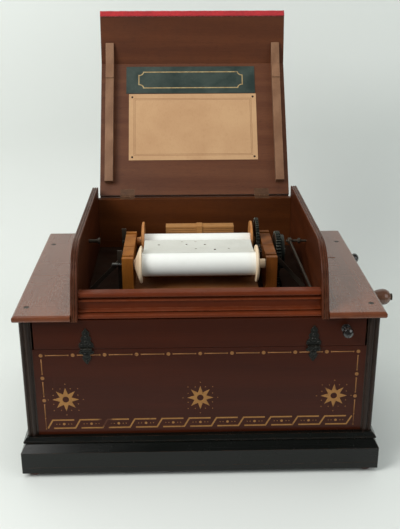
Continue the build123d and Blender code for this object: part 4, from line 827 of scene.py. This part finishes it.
# ---- lid ------------------------------------------------------------------------
def corners_of(node_name):
    """The vertices of a CAD node."""
    held = frame["nodes"][node_name]
    points = np.zeros(len(held.data.vertices) * 3)
    held.data.vertices.foreach_get("co", points)
    place = np.array(held.matrix_world)
    return points.reshape(-1, 3) @ place[:3, :3].T + place[:3, 3]


def lid_hinge():
    """The lid's joint."""
    return next(j for j in frame["joints"] if j["name"] == "lid_hinge")


def lid_directions():
    """Directions across the open lid, up its main board and out of that board's inner face."""
    travel = math.radians(max(abs(end) for end in lid_hinge()["range_deg"]))
    up = Vector((0, -math.cos(travel), math.sin(travel)))
    out = Vector((0, -math.sin(travel), -math.cos(travel)))
    return Vector((1, 0, 0)), up, out


def lid_face(node_name, half_thickness):
    """Middle of the face of a sheet on the open lid, and the directions across, up and out of that face."""
    low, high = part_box(node_name)
    across, up, out = lid_directions()
    return (low + high) / 2 + out * half_thickness, across, up, out


def hollow_frame(half_width, half_height, across, up):
    """An oblong outline whose corners are hollow: quarter ellipses of those radii round each corner point."""
    points = 9
    t = np.linspace(math.pi, 1.5 * math.pi, points)
    quarter = np.stack([half_width + across * np.cos(t), half_height + up * np.sin(t)], -1)
    turn = quarter[::-1]
    return np.concatenate([quarter, turn * (1, -1), quarter * (-1, -1), turn * (-1, 1)])


class ORGAN_OT_plate_border(bpy.types.Operator):
    """Painted border line with hollow corners on the plate inside the lid"""

    bl_idname = "organ.plate_border"
    bl_label = "Plate Border"

    def execute(self, context):
        size = context.scene.organ_lid_fittings
        tones = context.scene.organ_colours
        outline = hollow_frame(
            size.plate_half_width, size.plate_half_height, size.plate_hollow, size.plate_hollow_height)
        paint = gilded("plate_border_paint", tuple(tones.plate_border), tuple(tones.plate))
        flat = strokes([outline], size.plate_line, size.ink, True)
        shape = laid(flat, *lid_face("name_plate", size.plate_thickness / 2))
        piece("plate_border", shape, paint, "lid", smooth=False)
        return {"FINISHED"}


class ORGAN_OT_lid_lipping(bpy.types.Operator):
    """Narrow strip along the lid's foot that closes the gap to the back board when the lid is open"""

    bl_idname = "organ.lid_lipping"
    bl_label = "Lid Lipping"

    def execute(self, context):
        size = context.scene.organ_lid_fittings
        across, up, out = lid_directions()
        pin = np.array(lid_hinge()["pos_m"])
        board = corners_of("lid_main_board") - pin
        ends = board[:, 0].min(), board[:, 0].max()
        foot, back = (board @ np.array(up)).min(), (board @ np.array(out)).min()
        low, front = foot - size.lipping, back + size.lipping_width
        section = [(foot, back), (foot, front), (low, front), (low, back)]
        rings = np.array([[[(x, *point) for point in section] for x in ends]])
        wood = timber(
            "lipping_mahogany", linear((96, 58, 36)), linear((70, 38, 22)), figure=0.9, pores=0.7,
            rough=(0.42, 0.56), specular=0.3, coat=0.1, coat_rough=0.3, age=0.25, dust=0.0)
        piece("lid_lipping", laid(closed(rings), pin, across, up, out), wood, "lid", smooth=False)
        return {"FINISHED"}


class ORGAN_OT_card_frame(bpy.types.Operator):
    """Ruled double frame on the card inside the lid"""

    bl_idname = "organ.card_frame"
    bl_label = "Card Frame"

    def execute(self, context):
        size = context.scene.organ_lid_fittings
        frames = []
        for inset in (size.card_inset, size.card_inset + size.card_gap):
            x, z = size.card_half_width - inset, size.card_half_height - inset
            frames.append([(x, z), (x, -z), (-x, -z), (-x, z)])
        ink = paper_stock(
            "card_ink", linear((120, 84, 58)), linear((150, 112, 80)), age=0.4, scale=60.0, fleck=0.4)
        flat = strokes(frames, size.card_line, size.ink, True)
        shape = laid(flat, *lid_face("lid_card", size.card_thickness / 2))
        piece("card_frame", shape, ink, "lid", smooth=False)
        return {"FINISHED"}


FELT_STEPS = 240  # along the strip
FELT_SIDE_STEPS = 8  # along each side of its section
FELT_WAVES = ((310, 0.9), (790, 2.1))  # its unevenness: radians per metre along it and per step round it
FELT_WAVE = 0.03  # height of each of those waves, as a share of the distance from the section's middle
FELT_SHRINK = 0.97  # size of the strip's section, as a share of the CAD piece's


class ORGAN_OT_lid_felt(bpy.types.Operator):
    """Red felt strip on the landing edge of the lid"""

    bl_idname = "organ.lid_felt"
    bl_label = "Lid Felt"

    def execute(self, context):
        tones = context.scene.organ_colours
        corners = np.unique(corners_of("lid_felt").round(6), axis=0)
        x = np.linspace(corners[:, 0].min(), corners[:, 0].max(), FELT_STEPS)
        section = corners[corners[:, 0] < 0][:, 1:]
        middle = section.mean(0)
        order = np.argsort(np.arctan2(section[:, 1] - middle[1], section[:, 0] - middle[0]))
        section = section[order]
        s = np.linspace(0, 1, FELT_SIDE_STEPS, endpoint=False).reshape(1, -1, 1)
        loop = (section[:, None] * (1 - s) + np.roll(section, -1, 0)[:, None] * s).reshape(-1, 2)
        t = np.arange(len(loop))
        waver = 1 + FELT_WAVE * sum(np.sin(x[:, None] * a + t * b) for a, b in FELT_WAVES)
        ring = middle + (loop - middle)[None] * waver[..., None] * FELT_SHRINK
        rings = np.concatenate([np.broadcast_to(x[:, None, None], ring.shape[:2] + (1,)), ring], -1)
        red = woven(
            "red_felt", tuple(tones.felt), linear((120, 20, 26)), scale=700.0, rough=0.95, sheen=0.6,
            fuzz=0.55)
        strip = piece("felt_strip", closed(rings[None]), red, "lid", replaced=("lid_felt",))
        return {"FINISHED"}


class ORGAN_OT_lid_boards(bpy.types.Operator):
    """Finish of the lid's boards, battens, plate, card and tacks"""

    bl_idname = "organ.lid_boards"
    bl_label = "Lid Boards"

    def execute(self, context):
        tones = context.scene.organ_colours
        # Painted light: the main board takes a lighter copy of the front board's wood, for the sheen that
        # falls on it.
        dress(timber(
            "lid_mahogany", linear((108, 66, 42)), linear((80, 42, 24)), figure=0.9, pores=0.7,
            rough=(0.42, 0.56), specular=0.28, coat=0.08, coat_rough=0.3, age=0.25, dust=0.0,
        ), "lid_main_board")
        dress(timber(
            "front_board_mahogany", linear((98, 54, 29)), linear((72, 36, 19)), figure=0.9, pores=0.7,
            rough=(0.4, 0.54), specular=0.25, coat=0.08, coat_rough=0.3, age=0.25, dust=0.0,
        ), "lid_front_board")
        dress(timber(
            "batten_mahogany", linear((146, 108, 80)), linear((112, 76, 52)), along="Z", figure=1.0,
            pores=0.6, rough=(0.45, 0.6), specular=0.35, coat=0.05, coat_rough=0.3, age=0.3, dust=0.0,
            edge_tone=(190, 160, 130),
        ), "lid_battens")
        dress(metal(
            "green_plate", tuple(tones.plate), linear((74, 88, 78)), metallic=0.0, rough=(0.35, 0.6),
            spots=0.55, scale=24.0, pitted=0.1, worn=0.2, edge_tone=(120, 120, 100),
        ), "name_plate")
        dress(paper_stock(
            "card_stock", tuple(tones.card), linear((160, 118, 84)), age=0.45, scale=16.0, fleck=0.25,
        ), "lid_card")
        dress(metal("tack_iron", linear((50, 44, 40)), linear((84, 60, 46)), metallic=0.8), "card_tacks")
        return {"FINISHED"}


# ---- case -----------------------------------------------------------------------
class ORGAN_OT_case_boards(bpy.types.Operator):
    """Polish of the case, its shelves, cheeks, sill, flap and inner boards"""

    bl_idname = "organ.case_boards"
    bl_label = "Case Boards"

    def execute(self, context):
        tones = context.scene.organ_colours
        light, dark = tuple(tones.mahogany_light), tuple(tones.mahogany_dark)
        dress(timber(
            "panel_mahogany", light, dark, figure=0.7, pores=0.5, rough=(0.28, 0.38), specular=0.2,
            coat=0.03, coat_rough=0.12, age=0.2, dust=0.0, worn=0.15, edge_tone=(84, 40, 24),
        ), "front_panel", "swell_flap")
        dress(timber(
            "side_mahogany", linear((42, 28, 20)), linear((24, 15, 10)), along="Z", figure=0.8, pores=0.6,
            rough=(0.34, 0.46), specular=0.25, coat=0.12, coat_rough=0.15, age=0.25, dust=0.0,
            edge_tone=(104, 84, 70),
        ), "side_panel_left", "side_panel_right")
        dress(timber(
            "shelf_mahogany", linear((120, 66, 40)), linear((94, 50, 30)), along="Y", figure=0.9,
            pores=0.6, rough=(0.2, 0.32), specular=0.45, coat=0.35, coat_rough=0.12, age=0.2, dust=0.04,
            worn=0.3,
        ), "shelf_left", "shelf_right")
        dress(timber(
            "cheek_mahogany", linear((84, 40, 18)), linear((54, 23, 9)), along="Y", figure=1.0, pores=0.6,
            rough=(0.34, 0.46), specular=0.2, coat=0.08, coat_rough=0.15, age=0.25, dust=0.0,
            edge_tone=(150, 112, 88), worn=0.55,
        ), "cheek_left", "cheek_right")
        dress(timber(
            "well_mahogany", linear((96, 50, 18)), linear((66, 30, 8)), figure=0.9, pores=0.6,
            rough=(0.45, 0.58), specular=0.18, coat=0.0, coat_rough=0.3, age=0.25, dust=0.0,
        ), "box_back", "back_panel")
        dress(timber(
            "sill_mahogany", linear((112, 47, 18)), linear((80, 30, 9)), figure=0.9, pores=0.5,
            rough=(0.32, 0.44), specular=0.16, coat=0.06, coat_rough=0.15, age=0.25, dust=0.05,
            edge_tone=(160, 104, 72), worn=0.5,
        ), "sill_rail")
        dress(timber(
            "black_polish", tuple(tones.ebony), linear((7, 8, 7)), figure=0.8, pores=0.3,
            rough=(0.18, 0.32), specular=0.3, coat=0.12, coat_rough=0.12, shade=(14, 15, 13), age=0.3,
            dust=0.0, edge_tone=(126, 82, 54), worn=0.3,
        ), "plinth_rails", "base_board")
        dress(timber(
            "foot_mahogany", linear((110, 50, 36)), linear((66, 28, 20)), along="Z", figure=1.2,
            pores=0.5,
        ), "feet")
        # Painted shade: the deck board is darkened to near black for the shade that fills the well under the
        # mechanism.
        dress(timber(
            "well_floor", linear((40, 20, 9)), linear((22, 10, 4)), figure=1.0, pores=0.4,
            rough=(0.55, 0.7), specular=0.08, coat=0.0, age=0.3, dust=0.04,
        ), "deck_board")
        dress(timber(
            "deal", linear((186, 150, 104)), linear((148, 108, 66)), figure=1.4, pores=0.3,
            rough=(0.55, 0.7), specular=0.3, coat=0.0, shade=(110, 74, 44), dust=0.3,
        ), "inner_rails", "wind_chest", "reed_pan")
        dress(timber(
            "deal_lengthwise", linear((190, 154, 110)), linear((150, 112, 70)), along="Y", figure=1.4,
            pores=0.3, rough=(0.55, 0.7), specular=0.3, coat=0.0, shade=(110, 74, 44), dust=0.3,
        ), "feeder_board_left", "feeder_board_right", "reservoir_board")
        return {"FINISHED"}


class ORGAN_OT_case_fittings(bpy.types.Operator):
    """Finish of the screws, strap hinges, butt hinges, reeds, knobs and crank grip"""

    bl_idname = "organ.case_fittings"
    bl_label = "Case Fittings"

    def execute(self, context):
        tones = context.scene.organ_colours
        dress(metal(
            "strap_iron", linear((24, 24, 19)), linear((10, 10, 8)), metallic=0.3, rough=(0.22, 0.4),
            spots=0.7, scale=120.0, pitted=1.0, worn=0.8, edge_tone=(92, 92, 80),
        ), "strap_hinge_case_leaves", "strap_hinge_flap_leaves")
        dress(metal(
            "bronzed_iron", linear((96, 66, 44)), linear((62, 38, 24)), metallic=0.35, rough=(0.4, 0.6),
            spots=0.7, scale=90.0, pitted=0.3, worn=0.7, edge_tone=(170, 140, 112), dust=0.0,
        ), "lid_hinge_case_leaves", "lid_hinge_lid_leaves")
        dress(metal(
            "aged_brass", tuple(tones.brass), linear((92, 66, 34)), metallic=0.9, rough=(0.3, 0.5),
            spots=0.6, scale=60.0,
        ), "reeds")
        dress(metal("screw_iron", linear((58, 52, 46)), linear((36, 30, 26)), metallic=0.8), "shelf_screws")
        dress(timber(
            "black_knob", linear((24, 20, 18)), linear((10, 9, 8)), figure=1.0, pores=0.2,
            rough=(0.18, 0.3), specular=0.6, coat=0.7, coat_rough=0.08, shade=(8, 7, 6), dust=0.05,
            edge_tone=(90, 70, 55),
        ), "flap_knob", "stop_knob")
        dress(timber(
            "turned_grip", linear((124, 84, 62)), linear((84, 52, 38)), figure=1.4, pores=0.6,
            rough=(0.28, 0.4), specular=0.5, coat=0.5, coat_rough=0.12, dust=0.05, edge_tone=(60, 34, 22),
        ), "crank_grip")
        return {"FINISHED"}


# Bosses on one upper and one lower leaf: across and up from the middle of the seam, in millimetres, the
# setting of the radius and the share of it.
FLAP_BOSSES = (
    (0, 8.5, "large", 0.85), (0, 15.4, "large", 0.55), (0, 21, "small", 1), (-5.2, 6, "small", 1),
    (5.2, 6, "small", 1),
)
CASE_BOSSES = ((0, -7.4, "large", 1), (0, -14.2, "small", 1), (-6, -4.2, "small", 1), (6, -4.2, "small", 1))
BOSS_SIDES = 24


class ORGAN_OT_strap_bosses(bpy.types.Operator):
    """Cast bosses on the leaves of the two strap hinges"""

    bl_idname = "organ.strap_bosses"
    bl_label = "Strap Bosses"

    def execute(self, context):
        size = context.scene.organ_straps
        iron = bpy.data.materials["strap_iron"]
        for name, body, bosses in (
            ("strap_bosses_flap", "flap", FLAP_BOSSES), ("strap_bosses_case", "case", CASE_BOSSES),
        ):
            centres, radii = [], []
            for middle in (-size.place, size.place):
                centres += [(across * MM + middle, size.seam + up * MM) for across, up, _, _ in bosses]
                radii += [getattr(size, radius) * share for _, _, radius, share in bosses]
            shape = domes(centres, radii, size.rise, BOSS_SIDES)
            piece(name, on_front(shape), iron, body)
        return {"FINISHED"}


# ---- mechanism ------------------------------------------------------------------
class ORGAN_OT_mechanism(bpy.types.Operator):
    """Finish of the frames, spools, gears, shafts, rods and block"""

    bl_idname = "organ.mechanism"
    bl_label = "Mechanism"

    def execute(self, context):
        tones = context.scene.organ_colours
        oiled = dict(figure=1.1, pores=0.7, rough=(0.42, 0.6), specular=0.2, coat=0.0)
        dress(timber(
            "frame_walnut", linear((184, 116, 44)), linear((138, 80, 26)), along="Z", **oiled,
        ), "spool_frame_left")
        # Painted shade: the right frame takes a darker copy of the left frame's wood, for the shadow it
        # stands in.
        dress(timber(
            "frame_honey", linear((140, 80, 28)), linear((80, 40, 12)), along="Z", **oiled,
        ), "spool_frame_right")
        dress(timber(
            "bed_walnut", linear((150, 92, 44)), linear((106, 62, 26)), **oiled,
        ), "mechanism_bed", "tracker_bar")
        dress(timber(
            "block_honey", linear((206, 152, 92)), linear((154, 106, 58)), **oiled,
        ), "rear_block")
        dress(timber(
            "pale_beech", linear((246, 226, 196)), linear((226, 198, 162)), figure=1.0, pores=0.2,
            rough=(0.45, 0.6), coat=0.1, shade=(150, 110, 70), age=0.25, dust=0.0, edge_tone=(240, 225, 200),
        ), "feed_spool")
        dress(timber(
            "brown_beech", linear((206, 146, 86)), linear((164, 104, 54)), figure=1.2, pores=0.3,
            rough=(0.4, 0.55), coat=0.2, shade=(110, 66, 30), dust=0.0,
        ), "take_up_spool")
        dress(timber(
            "rod_beech", linear((196, 156, 108)), linear((160, 116, 72)), along="Z", figure=1.0,
            pores=0.3, coat=0.0, rough=(0.55, 0.7),
        ), "connecting_rod_left", "connecting_rod_right")
        dress(metal(
            "bright_steel", tuple(tones.steel), linear((92, 84, 76)), metallic=1.0, rough=(0.2, 0.4),
            spots=0.45, scale=60.0,
        ), "feed_axle", "countershaft", "crankshaft")
        dress(metal(
            "dull_steel", linear((74, 66, 56)), linear((38, 32, 26)), metallic=0.6, rough=(0.4, 0.6),
            spots=0.6, scale=50.0,
        ), "steel_bars", "crank_arm", "shaft_bearings")
        # Painted highlight: the cast iron's pale edge tone, at full strength, stands for light along the rims
        # of the wheels and arms.
        dress(metal(
            "cast_iron", tuple(tones.iron), linear((24, 24, 20)), metallic=0.55, rough=(0.3, 0.5),
            spots=0.6, scale=70.0, pitted=0.4, worn=1.0, edge_tone=(176, 178, 164),
        ), "drive_gear", "take_up_gear", "idler_gear", "crank_gear")
        return {"FINISHED"}


# ---- bellows --------------------------------------------------------------------
SIDE_STEPS = 24  # along each side of a pleated wall
SHALLOW = 0.7  # depth of the reservoir's folds, as a share of the feeders'


def pleated(x, y, near, far, folds, depth, wall):
    """Pleated cloth wall round the oblong x by y, and its flat width, height and area.

    At height share v the wall runs at z = near(y) + v * (far(y) - near(y)), drawn in by depth * fold(v) *
    share(y), where fold is a zigzag from 0 to 1 and share is how tall the wall is at y, from 0 where it is
    lowest to 1 where it is tallest. near and far are each a pair of heights, at y[0] and at y[1]. A second
    skin lies one thickness inside the first.
    """
    t = np.linspace(-1, 1, SIDE_STEPS, endpoint=False)
    one = np.ones(SIDE_STEPS)
    rim = np.concatenate([np.stack(p, -1) for p in ((t, -one), (one, t), (-t, one), (-one, -t))])
    half = np.array([x[1] - x[0], y[1] - y[0]]) / 2
    middle = np.array([x[1] + x[0], y[1] + y[0]]) / 2
    v = np.linspace(0, 1, 2 * folds + 1)
    zigzag = np.arange(len(v)) % 2
    along = (rim[:, 1] + 1) / 2
    low = near[0] + (near[1] - near[0]) * along
    high = far[0] + (far[1] - far[0]) * along
    tall = np.abs(high - low)
    share = (tall - tall.min()) / (tall.max() - tall.min())
    skins = []
    for inset in (0.0, wall):
        drawn = depth * zigzag[:, None] * share + inset
        flat = middle + rim * (half - drawn[..., None])
        skins.append(np.concatenate([flat, (low + v[:, None] * (high - low))[..., None]], -1))
    outer = skins[0]
    across = np.linalg.norm(np.roll(outer, -1, 1) - outer, axis=-1)
    rise = np.linalg.norm(outer[1:] - outer[:-1], axis=-1)
    width, height = across[0].sum(), rise.sum(0).max()
    area = (rise * (across[1:] + across[:-1]) / 2).sum()
    loop = np.concatenate([skins[0], skins[1][::-1]])[None]
    return skin(loop, close_u=True, close_v=True), (width, height), area


class ORGAN_OT_bellows(bpy.types.Operator):
    """Pleated cloths of the two feeders and of the reservoir"""

    bl_idname = "organ.bellows"
    bl_label = "Bellows Cloths"

    def execute(self, context):
        size = context.scene.organ_bellows
        cloth = woven(
            "rubber_cloth", linear((58, 54, 50)), linear((34, 31, 29)), scale=1100.0, rough=0.8,
            sheen=0.15, fuzz=0.5)
        for side, body in ((-1, "feeder_left"), (1, "feeder_right")):
            x = sorted((side * size.feeder_near, side * size.feeder_far))
            shape, flat, area = pleated(
                x, (size.feeder_front, size.feeder_hinge), (size.feeder_floor,) * 2,
                (size.feeder_high, size.feeder_low), size.folds, size.fold, size.wall)
            made = piece(f"{body}_cloth", shape, cloth, None, False)
            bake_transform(made)
        shape, flat, area = pleated(
            (size.reservoir_left, size.reservoir_right), (size.reservoir_front, size.reservoir_hinge),
            (size.reservoir_top,) * 2, (size.reservoir_low, size.reservoir_high), size.folds - 1,
            size.fold * SHALLOW, size.wall)
        made = piece("reservoir_cloth", shape, cloth, "case", False, ("bellows_cloths",))
        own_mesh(made)
        return {"FINISHED"}


# ---- paper ----------------------------------------------------------------------
# Holes: the row across, where the hole begins along the paper from the top of the feed roll, and its
# length, both in millimetres.
TUNE = (
    (1, 42, 2.6), (7, 43, 2.6), (11, 42, 2.6), (9, 22, 3.0), (13, 15.5, 6.0), (16, 22, 2.6), (0, 0.5, 2.0),
    (6, 54, 1.5), (9, 54, 1.5),
)
BAR_NOSE = 2 * MM  # from the tracker bar's front to where the paper lies level on it
WEB_STEPS = 40


def web_path(lift):
    """The line the paper takes seen from the side, as (Y, Z) from the feed roll on.

    It leaves the top of the feed roll, is level over the tracker bar and goes down behind it to the
    underside of the take-up roll: from the bar's rear edge the slope is the angle to the roll's middle less
    asin(radius / distance).
    """
    feed, roll, bar = (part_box(n) for n in ("music_roll", "take_up_paper", "tracker_bar"))
    level = bar[1].z + lift
    edge = np.array([bar[1].y + lift, level])
    middle = np.array([roll[0].y + roll[1].y, roll[0].z + roll[1].z]) / 2
    radius = (roll[1].z - roll[0].z) / 2 + lift
    ahead = middle - edge
    reach = np.linalg.norm(ahead)
    slope = math.atan2(ahead[1], ahead[0]) - math.asin(radius / reach)
    touch = edge + math.sqrt(reach ** 2 - radius ** 2) * np.array([math.cos(slope), math.sin(slope)])
    start = ((feed[0].y + feed[1].y) / 2, feed[1].z + lift)
    return np.array([start, (bar[0].y + BAR_NOSE, level), edge, touch])


class ORGAN_OT_music_paper(bpy.types.Operator):
    """Punched paper between the rolls, and the finish of the paper on them"""

    bl_idname = "organ.music_paper"
    bl_label = "Music Paper"

    def execute(self, context):
        size = context.scene.organ_paper
        tones = context.scene.organ_colours
        stock = paper_stock(
            "music_paper", tuple(tones.paper), linear((214, 214, 204)), age=0.3, scale=18.0, fleck=0.08,
            rough=0.7)
        # Painted shade: the punched paper between the rolls takes a darker copy of the paper's colour.
        shaded_web_stock = paper_stock(
            "used_paper", tuple(tones.used_paper), linear((184, 184, 174)), age=0.5, scale=26.0,
            fleck=0.12, rough=0.75)
        middle = (size.left + size.right) / 2
        notes = middle + (np.arange(size.notes) - (size.notes - 1) / 2) * size.pitch
        x = np.sort(np.concatenate([[size.left, size.right], notes - size.hole / 2, notes + size.hole / 2]))
        path = web_path(size.lift)
        legs = np.concatenate([[0], np.cumsum(np.linalg.norm(np.diff(path, axis=0), axis=1))])
        tune = np.array(TUNE) * (1, MM, MM)
        cuts = np.concatenate([tune[:, 1], tune[:, 1] + tune[:, 2]])
        s = np.unique(np.concatenate([legs, cuts, np.linspace(0, legs[-1], WEB_STEPS)]).round(7))
        y, z = np.interp(s, legs, path[:, 0]), np.interp(s, legs, path[:, 1])
        grid = np.stack(np.broadcast_arrays(x[None, :], y[:, None], z[:, None]), -1)
        points, quads = skin(grid[None])
        rows, columns = (s[1:] + s[:-1]) / 2, (x[1:] + x[:-1]) / 2
        open_rows = (rows[:, None] > tune[:, 1]) & (rows[:, None] < tune[:, 1] + tune[:, 2])
        open_columns = np.abs(columns[:, None] - notes[tune[:, 0].astype(int)]) < size.hole / 2
        punched = (open_rows[:, None] & open_columns[None]).any(-1).reshape(-1)
        web = piece("punched_paper", (points, quads[~punched]), shaded_web_stock, "case", False, ("paper_web",))
        wall = web.modifiers.new("thickness", "SOLIDIFY")
        wall.thickness = size.thickness
        wall.offset = 0
        dress(stock, "music_roll", "take_up_paper")
        return {"FINISHED"}


# ---- stage ----------------------------------------------------------------------
# Lamps: the setting of the power, place, target, width and tint.
LAMPS = (
    ("key", (-1.35, -0.95, 1.35), (0, 0, 0.15), 0.9, (1.0, 0.985, 0.96)),
    ("top", (0.1, 0.1, 1.9), (0, 0, 0), 1.2, (1.0, 0.99, 0.97)),
    ("window", (-0.75, -0.75, 1.65), (0, 0.2, 0.4), 0.5, (1.0, 0.99, 0.97)),
    ("fill", (1.5, -1.1, 1.0), (0, 0, 0.15), 1.2, (0.96, 0.98, 1.0)),
)
SKY_TONE = (232, 238, 236)
FLOOR_SHADE = (220, 224, 221)
GROUND_GAP = 0.05 * MM  # between the ground and the lowest point of the feet
BEND_STEPS = 24
DARKENING = 0.18  # depth of the stretch of floor over which its mirror image fades
CAMERA_PLACE = (-0.0221, -0.9905, 0.5822)
CAMERA_LENS = 54.66  # focal length in millimetres
CAMERA_PAN = -0.026  # radians from straight ahead; below 0 is to the right
CAMERA_TILT = -0.362  # radians from level; below 0 is down
CAMERA_ROLL = -0.002  # radians


def lamp(name, place, target, width, power, tint):
    """A soft lamp, as high as wide, that faces the target."""
    light = bpy.data.lights.new(name, "AREA")
    light.shape = "RECTANGLE"
    light.size = light.size_y = width
    light.energy = power
    light.color = tint
    held = bpy.data.objects.new(name, light)
    bpy.context.scene.collection.objects.link(held)
    held.location = place
    held.rotation_euler = (Vector(target) - Vector(place)).to_track_quat("-Z", "Y").to_euler()
    return held


class ORGAN_OT_stage(bpy.types.Operator):
    """Pale floor that sweeps up into a backdrop, soft lamps and the camera"""

    bl_idname = "organ.stage"
    bl_label = "Stage"

    def execute(self, context):
        size = context.scene.organ_stage
        ground = CAD_BOX[0].z - GROUND_GAP
        bend = np.linspace(0, math.pi / 2, BEND_STEPS)
        curve = size.wall - size.sweep + size.sweep * np.sin(bend)
        y = np.concatenate([[-size.front, 0], curve, [size.wall]])
        z = np.concatenate([[0, 0], size.sweep - size.sweep * np.cos(bend), [size.height]]) + ground
        x = np.linspace(-size.half_width, size.half_width, 3)
        grid = np.stack(np.broadcast_arrays(x[None, :], y[:, None], z[:, None]), -1)[:, ::-1]
        points, quads = skin(grid[None])
        mesh = bpy.data.meshes.new("floor_sweep")
        mesh.from_pydata(points, [], quads)
        mesh.polygons.foreach_set("use_smooth", np.full(len(mesh.polygons), True))
        sweep = bpy.data.objects.new("floor_sweep", mesh)
        context.scene.collection.objects.link(sweep)
        mesh.materials.append(self.paper_ground(size))
        for name, place, target, width, tint in LAMPS:
            held = lamp(f"{name}_lamp", place, target, width, getattr(size, name), tint)
            held.visible_glossy = name != "top"
        world = bpy.data.worlds.new("sky")
        world.use_nodes = True
        tree = world.node_tree
        sky = tree.nodes["Background"]
        sky.inputs["Color"].default_value = (*linear(SKY_TONE), 1)
        mirrored = tree.nodes.new("ShaderNodeLightPath").outputs["Is Glossy Ray"]
        strength = ramped(tree, mirrored, 0.0, 1.0, size.sky, size.sky * size.mirrored)
        tree.links.new(strength, sky.inputs["Strength"])
        context.scene.world = world
        context.scene.view_settings.view_transform = "Standard"
        self.set_camera(context)
        return {"FINISHED"}

    def paper_ground(self, size):
        """Matt pale ground, darker in mirror images far in front, and clear from behind to hide nothing."""
        material, tree, shader, place = new_finish("pale_ground")
        tone = mixed(tree, cloud(tree, place, 1.4, 2.0), tuple(size.floor), linear(FLOOR_SHADE))
        mirrored = tree.nodes.new("ShaderNodeLightPath").outputs["Is Glossy Ray"]
        ahead = node(tree, "SeparateXYZ", Vector=place).outputs["Y"]
        far = ramped(tree, ahead, -size.near, -size.near - DARKENING, 0.0, 1.0 - size.mirrored)
        tone = mixed(tree, maths(tree, "MULTIPLY", far, mirrored), tone, (0.0, 0.0, 0.0))
        tree.links.new(tone, shader.inputs["Base Color"])
        shader.inputs["Roughness"].default_value = 0.9
        shader.inputs["Specular IOR Level"].default_value = 0.1
        clear = node(tree, "BsdfTransparent")
        both = node(tree, "MixShader")
        output = next(n for n in tree.nodes if n.type == "OUTPUT_MATERIAL")
        tree.links.new(node(tree, "NewGeometry").outputs["Backfacing"], both.inputs[0])
        tree.links.new(shader.outputs[0], both.inputs[1])
        tree.links.new(clear.outputs[0], both.inputs[2])
        tree.links.new(both.outputs[0], output.inputs["Surface"])
        return material

    def set_camera(self, context):
        """Camera in front of the organ and a little to its left, looking down at it."""
        view = bpy.data.cameras.new("photo_camera")
        view.lens = CAMERA_LENS
        held = bpy.data.objects.new("photo_camera", view)
        context.scene.collection.objects.link(held)
        held.location = CAMERA_PLACE
        turn = Matrix.Rotation(CAMERA_PAN, 3, "Z") @ Matrix.Rotation(math.pi / 2 + CAMERA_TILT, 3, "X")
        held.rotation_euler = (turn @ Matrix.Rotation(CAMERA_ROLL, 3, "Z")).to_euler()
        context.scene.camera = held


# ---- panel and registration -----------------------------------------------------
OPERATORS = (
    ORGAN_OT_stage, ORGAN_OT_case_boards, ORGAN_OT_case_fittings, ORGAN_OT_gilt_border,
    ORGAN_OT_gilt_stars, ORGAN_OT_gilt_band, ORGAN_OT_strap_bosses, ORGAN_OT_lid_boards,
    ORGAN_OT_plate_border, ORGAN_OT_lid_lipping, ORGAN_OT_card_frame, ORGAN_OT_lid_felt,
    ORGAN_OT_mechanism, ORGAN_OT_bellows, ORGAN_OT_music_paper,
)


class ORGAN_PT_panel(bpy.types.Panel):
    """Lists the organ's pieces and their settings."""

    bl_idname = "ORGAN_PT_panel"
    bl_label = "Roller Organ"
    bl_space_type = "VIEW_3D"
    bl_region_type = "UI"
    bl_category = "Roller Organ"

    def draw(self, context):
        for operator in OPERATORS:
            self.layout.operator(operator.bl_idname)
        for name, kind in SETTINGS.items():
            box = self.layout.box()
            box.label(text=kind.__doc__)
            for field in kind.__annotations__:
                box.prop(getattr(context.scene, name), field)


CLASSES = (*SETTINGS.values(), *OPERATORS, ORGAN_PT_panel)


def register():
    """Registers the settings, operators and panel."""
    for kind in CLASSES:
        bpy.utils.register_class(kind)
    for name, kind in SETTINGS.items():
        setattr(bpy.types.Scene, name, PointerProperty(type=kind))


def unregister():
    """Removes the settings, operators and panel."""
    for name in SETTINGS:
        delattr(bpy.types.Scene, name)
    for kind in reversed(CLASSES):
        bpy.utils.unregister_class(kind)


def main():
    """Dresses the organ piece by piece."""
    register()
    for operator in OPERATORS:
        family, name = operator.bl_idname.split(".")
        getattr(getattr(bpy.ops, family), name)()


if __name__ == "__main__":
    main()
